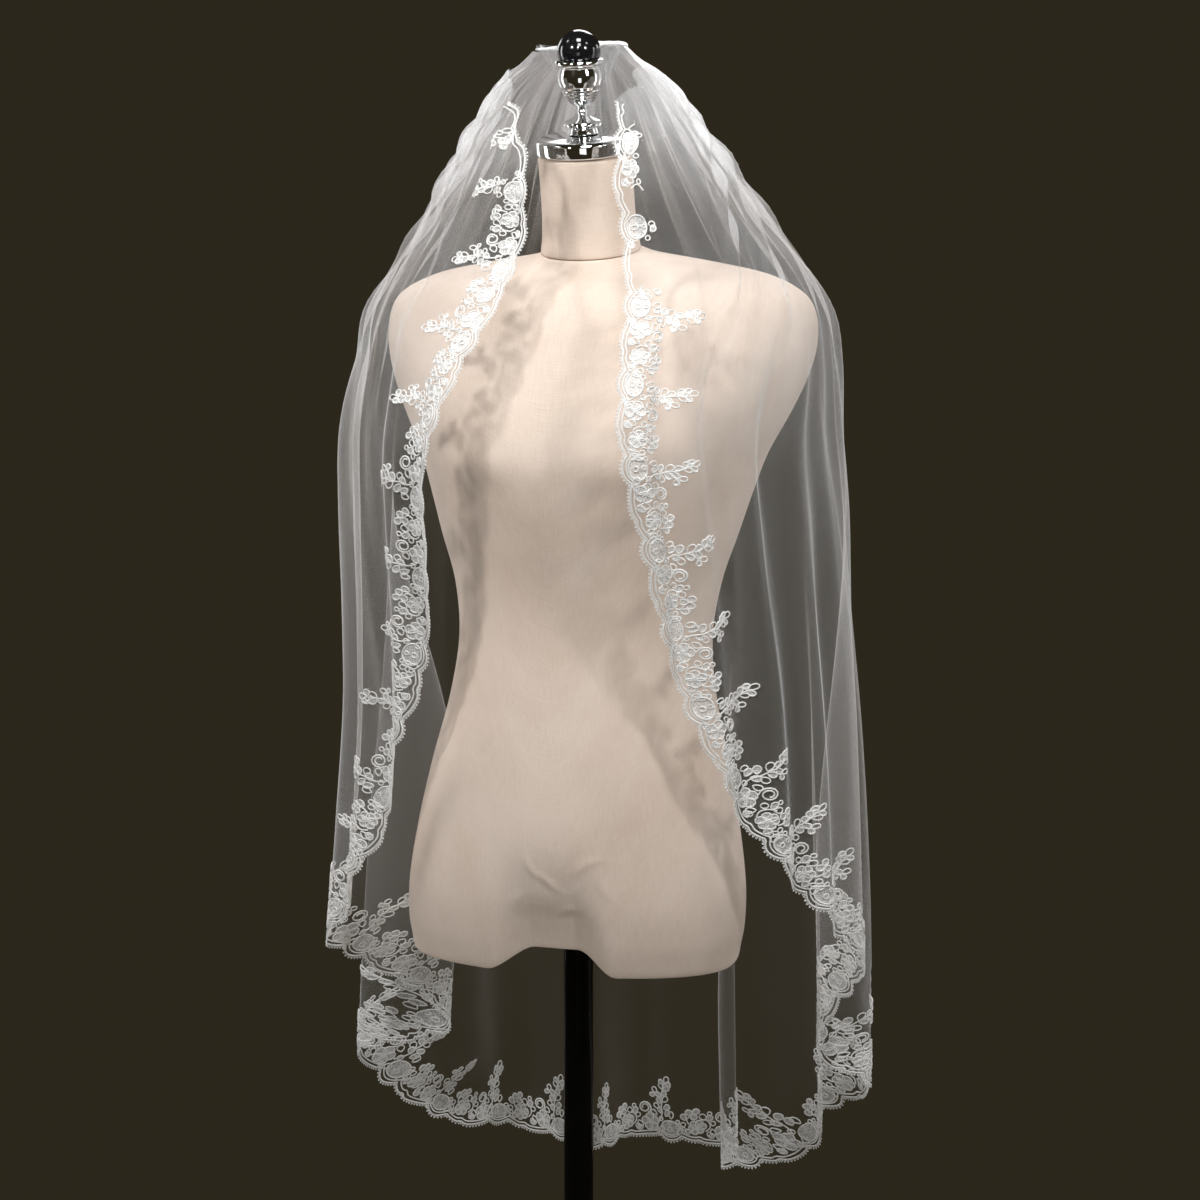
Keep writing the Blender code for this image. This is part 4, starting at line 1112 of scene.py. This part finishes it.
class Strands:
    """Lengths of cord as a mesh of edges, with fillings as fans of faces."""

    def __init__(self):
        self.points, self.edges, self.sizes, self.count = [], [], [], 0
        self.fill_points, self.fill_faces, self.fill_count = [], [], 0

    def add(self, points, closed, size):
        number = len(points)
        order = np.arange(number)
        ends = order if closed else order[:-1]
        self.edges.append(np.stack([ends, (ends + 1) % number], axis=-1) + self.count)
        self.points.append(points)
        self.sizes.append(np.full(number, size))
        self.count += number

    def fill(self, points):
        number = len(points)
        order = np.arange(number)
        middle = np.full(number, number)
        self.fill_faces.append(np.stack([order, (order + 1) % number, middle], axis=-1) + self.fill_count)
        self.fill_points.append(np.concatenate([points, points.mean(axis=0, keepdims=True)]))
        self.fill_count += number + 1

    def line_mesh(self, name):
        mesh = bpy.data.meshes.new(name)
        mesh.from_pydata(np.concatenate(self.points).tolist(), np.concatenate(self.edges).tolist(), [])
        sizes = mesh.attributes.new("thickness", "FLOAT", "POINT")
        sizes.data.foreach_set("value", np.concatenate(self.sizes))
        return mesh

    def fill_mesh(self, name):
        mesh = bpy.data.meshes.new(name)
        mesh.from_pydata(np.concatenate(self.fill_points).tolist(), [], np.concatenate(self.fill_faces).tolist())
        return mesh


BARE_STRETCHES = (
    # from the left end, starts, ends, cords kept no further in than
    (True, 0.000, 0.056, 0.000),
    (True, 0.092, 0.122, 0.006),
    (False, 0.000, 0.050, 0.000),
    (False, 0.050, 0.130, 0.024),
    (False, 0.130, 0.160, 0.005),
    (False, 0.160, 0.182, 0.030),
    (False, 0.182, 0.225, 0.005),
)


def left_bare(run, inward):
    """Near the comb only part of the lace's pattern is there."""
    on_left = run < EDGE_LENGTH / 2.0
    from_end = run if on_left else EDGE_LENGTH - run
    return any(
        side == on_left and starts <= from_end < ends and inward > kept
        for side, starts, ends, kept in BARE_STRETCHES
    )


def lay_motifs(strands, first, last, chance):
    """Lays the repeats' cords on the cloth. They shrink with the lace towards the comb."""
    cords = motif()
    for repeat in range(first, last):
        middle = (repeat + 0.45) * REPEAT
        grown = float(lace_growth(middle))
        if grown < 0.30:
            continue
        for cord, closed, filled, size in cords:
            wander = chance.normal(0.0, 0.25, 2)
            centre = cord.mean(axis=0)
            shrink = 0.45 + 0.55 * grown
            laid = (cord - centre) * shrink + centre * (1.0, 0.25 + 0.75 * grown) + wander
            runs = repeat * REPEAT + laid[:, 0] / 1000.0 * REPEAT / REPEAT_LENGTH
            lift = MOTIF_LIFT + chance.uniform(0.0, 0.0004)
            if runs.min() < 0.045 or runs.max() > EDGE_LENGTH - 0.045:
                continue
            if left_bare(runs.mean(), laid[:, 1].mean() / 1000.0):
                continue
            inward = np.maximum(laid[:, 1] / 1000.0, scallop(runs) + 0.001)
            points = cloth_point(runs, inward, np.full(len(runs), lift))
            strands.add(points, closed, CORD * size)
            if filled:
                strands.fill(cloth_point(runs, inward, np.full(len(runs), lift - 0.0002)))


def edge_line(first, last, inside, step=0.0024):
    """A line along the scalloped edge, a little inside the cut."""
    start = max(first * REPEAT, 0.050)
    end = min(last * REPEAT, EDGE_LENGTH - 0.050)
    runs = np.linspace(start, end, int((end - start) / step))
    return cloth_point(runs, scallop(runs) + inside, np.full(len(runs), MOTIF_LIFT)), runs


def geometry_tree(name, inputs):
    """An empty Geometry Nodes tree with named inputs, and its two end nodes."""
    made = bpy.data.node_groups.new(name, "GeometryNodeTree")
    sockets = made.interface
    sockets.new_socket("Geometry", in_out="INPUT", socket_type="NodeSocketGeometry")
    for label, kind, value in inputs:
        socket = sockets.new_socket(label, in_out="INPUT", socket_type=kind)
        if value is not None:
            socket.default_value = value
    sockets.new_socket("Geometry", in_out="OUTPUT", socket_type="NodeSocketGeometry")
    return made, made.nodes.new("NodeGroupInput"), made.nodes.new("NodeGroupOutput")


def cord_tree():
    """Sweeps a round cord along each line, as thick as its thickness attribute says."""
    made, given, result = geometry_tree(
        "corded line", [("Sides", "NodeSocketInt", 5), ("Material", "NodeSocketMaterial", None)]
    )
    curve = node(made, "GeometryNodeMeshToCurve", Mesh=given.outputs["Geometry"])
    thickness = node(made, "GeometryNodeInputNamedAttribute", {"data_type": "FLOAT"}, Name="thickness")
    sized = node(made, "GeometryNodeSetCurveRadius", Curve=curve.outputs["Curve"], Radius=thickness.outputs["Attribute"])
    length = node(made, "GeometryNodeSplineParameter").outputs["Length"]
    kept = node(made, "GeometryNodeStoreNamedAttribute", Geometry=sized.outputs["Curve"], Name="along", Value=length)
    profile = node(made, "GeometryNodeCurvePrimitiveCircle", Resolution=given.outputs["Sides"], Radius=1.0)
    swept = node(
        made,
        "GeometryNodeCurveToMesh",
        Curve=kept.outputs["Geometry"],
        Profile_Curve=profile.outputs["Curve"],
        Fill_Caps=True,
    )
    if "Scale" in swept.inputs:
        radius = node(made, "GeometryNodeInputRadius")
        made.links.new(radius.outputs["Radius"], swept.inputs["Scale"])
    painted = node(made, "GeometryNodeSetMaterial", Geometry=swept.outputs["Mesh"], Material=given.outputs["Material"])
    real = node(made, "GeometryNodeRealizeInstances", Geometry=painted.outputs["Geometry"])
    made.links.new(real.outputs["Geometry"], result.inputs["Geometry"])
    return made


def grown(name, mesh, tree, settings):
    """Runs a Geometry Nodes tree on a mesh and keeps its result as a plain mesh."""
    holder = bpy.data.objects.new(name, mesh)
    scene.collection.objects.link(holder)
    modifier = holder.modifiers.new("Grow", "NODES")
    modifier.node_group = tree
    for item in tree.interface.items_tree:
        if item.item_type == "SOCKET" and item.in_out == "INPUT" and item.name in settings:
            modifier[item.identifier] = settings[item.name]
    depsgraph = bpy.context.evaluated_depsgraph_get()
    result = bpy.data.meshes.new_from_object(holder.evaluated_get(depsgraph))
    bpy.data.objects.remove(holder, do_unlink=True)
    result.name = name
    return result


thread, tree, shader = new_material("white lace cord", (0.93, 0.925, 0.91), 0.5)
shader.inputs["Sheen Weight"].default_value = 0.3
shader.inputs["Specular IOR Level"].default_value = 0.45
along = node(tree, "ShaderNodeAttribute", {"attribute_name": "along"}).outputs["Fac"]
twist = node(tree, "ShaderNodeMath", {"operation": "MULTIPLY"}, i0=along, i1=2.0 * math.pi / 0.0011)
twist = node(tree, "ShaderNodeMath", {"operation": "SINE"}, i0=twist.outputs[0])
bump = node(tree, "ShaderNodeBump", Strength=0.4, Distance=0.0002, Height=twist.outputs[0])
tree.links.new(bump.outputs["Normal"], shader.inputs["Normal"])

filling, tree, shader = new_material("stitched lace filling", (0.92, 0.92, 0.91), 0.65)
shader.inputs["Sheen Weight"].default_value = 0.3
place = node(tree, "ShaderNodeTexCoord").outputs["Object"]
stitches = node(tree, "ShaderNodeTexNoise", Vector=place, Scale=900.0, Detail=1.0)
closed = node(tree, "ShaderNodeMapRange", Value=stitches.outputs["Fac"], i1=0.38, i2=0.62, i3=0.35, i4=0.85)
tree.links.new(closed.outputs["Result"], shader.inputs["Alpha"])
bump = node(tree, "ShaderNodeBump", Strength=0.5, Distance=0.0003, Height=stitches.outputs["Fac"])
tree.links.new(bump.outputs["Normal"], shader.inputs["Normal"])

CORDS = cord_tree()
chance = np.random.default_rng(7)
for name, first, last in (("left", 0, 14), ("hem", 14, 28), ("right", 28, REPEATS)):
    strands = Strands()
    lay_motifs(strands, first, last, chance)
    for inside, size in ((0.0010, 1.1), (0.0042, 1.05)):
        strands.add(edge_line(first, last, inside)[0], False, CORD * size)
    cords = grown("lace_cords_" + name, strands.line_mesh("lines"), CORDS, {"Sides": 5, "Material": thread})
    replaced = ("lace_trim",) if name == "hem" else ()
    finished("lace_cords_" + name, cords, thread, "lace", *replaced)
    fill = strands.fill_mesh("lace_filling_" + name)
    finished("lace_filling_" + name, fill, filling, "lace")


def picot_tree():
    """Small thread loops at even steps along a line, standing out in its own direction."""
    made, given, result = geometry_tree(
        "edge loops",
        [
            ("Step", "NodeSocketFloat", 0.0031),
            ("Reach", "NodeSocketFloat", 0.0030),
            ("Half width", "NodeSocketFloat", 0.0010),
            ("Thread", "NodeSocketFloat", 0.0004),
            ("Material", "NodeSocketMaterial", None),
        ],
    )
    curve = node(made, "GeometryNodeMeshToCurve", Mesh=given.outputs["Geometry"])
    settings = {"mode": "LENGTH"}
    step = given.outputs["Step"]
    spaced = node(made, "GeometryNodeResampleCurve", settings, Curve=curve.outputs["Curve"], Length=step)
    tangent = node(made, "GeometryNodeInputTangent").outputs["Tangent"]
    outward = node(made, "GeometryNodeInputNamedAttribute", {"data_type": "FLOAT_VECTOR"}, Name="outward")
    turned = node(made, "FunctionNodeAlignRotationToVector", {"axis": "X"}, Vector=tangent)
    settings = {"axis": "Y", "pivot_axis": "X"}
    turned = node(
        made,
        "FunctionNodeAlignRotationToVector",
        settings,
        Rotation=turned.outputs["Rotation"],
        Vector=outward.outputs["Attribute"],
    )
    left = node(made, "ShaderNodeMath", {"operation": "MULTIPLY"}, i0=given.outputs["Half width"], i1=-1.0)
    twice = node(made, "ShaderNodeMath", {"operation": "MULTIPLY"}, i0=given.outputs["Reach"], i1=2.0)
    start = node(made, "ShaderNodeCombineXYZ", X=left.outputs[0])
    crown = node(made, "ShaderNodeCombineXYZ", Y=twice.outputs[0])
    end = node(made, "ShaderNodeCombineXYZ", X=given.outputs["Half width"])
    arch = node(
        made,
        "GeometryNodeCurveQuadraticBezier",
        Resolution=5,
        Start=start.outputs[0],
        Middle=crown.outputs[0],
        End=end.outputs[0],
    )
    profile = node(made, "GeometryNodeCurvePrimitiveCircle", Resolution=4, Radius=given.outputs["Thread"])
    loop = node(
        made, "GeometryNodeCurveToMesh", Curve=arch.outputs["Curve"], Profile_Curve=profile.outputs["Curve"]
    )
    placed = node(
        made,
        "GeometryNodeInstanceOnPoints",
        Points=spaced.outputs["Curve"],
        Instance=loop.outputs["Mesh"],
        Rotation=turned.outputs["Rotation"],
    )
    real = node(made, "GeometryNodeRealizeInstances", Geometry=placed.outputs["Instances"])
    painted = node(made, "GeometryNodeSetMaterial", Geometry=real.outputs["Geometry"], Material=given.outputs["Material"])
    made.links.new(painted.outputs["Geometry"], result.inputs["Geometry"])
    return made


line, runs = edge_line(0, REPEATS, 0.0008, 0.0015)
outer = cloth_point(runs, scallop(runs) - 0.0006, np.full(len(runs), MOTIF_LIFT))
mesh = bpy.data.meshes.new("picot_line")
mesh.from_pydata(line.tolist(), [(number, number + 1) for number in range(len(line) - 1)], [])
mesh.attributes.new("outward", "FLOAT_VECTOR", "POINT").data.foreach_set("vector", unit(outer - line).ravel())
picots = grown("lace_picots", mesh, picot_tree(), {"Material": thread})
finished("lace_picots", picots, thread, "lace")

# The floor, the light and the camera's surroundings
# A plain pale round floor, two soft lights in front to the left and right, a weak one
# behind and above, and a plain dark surround, against which white net can be seen.

floor_finish, tree, shader = new_material("pale floor", (0.62, 0.61, 0.59), 0.7)
add_wear(tree, shader, 0.6, 0.8, 0.003, 0.0001)
floor_profile = [(0.0, -0.0005), (1.0, -0.0005), (1.0, -0.02), (0.0, -0.02)]
floor = bpy.data.objects.new("floor", turned_mesh("floor", floor_profile, 128))
floor.data.materials.append(floor_finish)
scene.collection.objects.link(floor)

world = bpy.data.worlds.new("surround")
world.use_nodes = True
world.node_tree.nodes["Background"].inputs["Color"].default_value = (0.0255, 0.0205, 0.0115, 1.0)
scene.world = world

SOFT_LIGHTS = (
    # name, place, aim, width, height, spread in degrees, watts
    ("key left", (-0.48, -1.35, 2.12), (0.0, 0.0, 1.30), 0.13, 0.16, 180.0, 12.5),
    ("key right", (1.15, -0.85, 2.02), (0.0, 0.0, 1.28), 0.13, 0.16, 180.0, 8.0),
    ("front high", (0.45, -1.20, 2.45), (0.0, 0.0, 1.35), 0.35, 0.35, 180.0, 5.5),
    ("top", (0.15, -0.50, 2.50), (0.0, 0.0, 1.55), 0.30, 0.30, 180.0, 7.0),
    ("low front", (0.55, -2.10, 1.00), (0.0, 0.0, 0.95), 0.60, 0.60, 180.0, 1.5),
    ("left strip", (-1.70, -0.10, 1.35), (0.0, 0.0, 1.20), 0.30, 1.50, 180.0, 8.0),
    ("right strip", (1.75, 0.45, 1.35), (0.0, 0.0, 1.20), 0.30, 1.50, 180.0, 6.0),
    ("left back", (-1.30, 0.95, 1.60), (0.0, 0.0, 1.15), 0.40, 1.20, 180.0, 5.0),
    ("right back", (1.20, 1.30, 1.60), (0.0, 0.0, 1.15), 0.40, 1.20, 180.0, 5.0),
    ("back", (-0.30, 1.60, 2.80), (0.0, 0.0, 1.10), 1.00, 0.80, 180.0, 14.0),
    ("crown left", (-0.55, -0.25, 2.15), (-0.02, 0.02, 1.54), 0.12, 0.12, 40.0, 0.02),
    ("crown right", (0.65, -0.25, 2.15), (0.02, 0.02, 1.54), 0.12, 0.12, 40.0, 0.02),
    ("crown front", (0.30, -1.20, 2.05), (0.0, 0.03, 1.585), 0.10, 0.10, 14.0, 0.030),
)
for name, place, aim, width, height, spread, watts in SOFT_LIGHTS:
    light = bpy.data.lights.new(name, "AREA")
    light.shape = "RECTANGLE"
    light.size = width
    light.size_y = height
    light.spread = math.radians(spread)
    light.energy = watts
    lamp = bpy.data.objects.new(name, light)
    lamp.location = place
    lamp.rotation_euler = (Vector(aim) - Vector(place)).to_track_quat("-Z", "Y").to_euler()
    scene.collection.objects.link(lamp)

scene.view_settings.view_transform = "Standard"
scene.cycles.transparent_max_bounces = 32
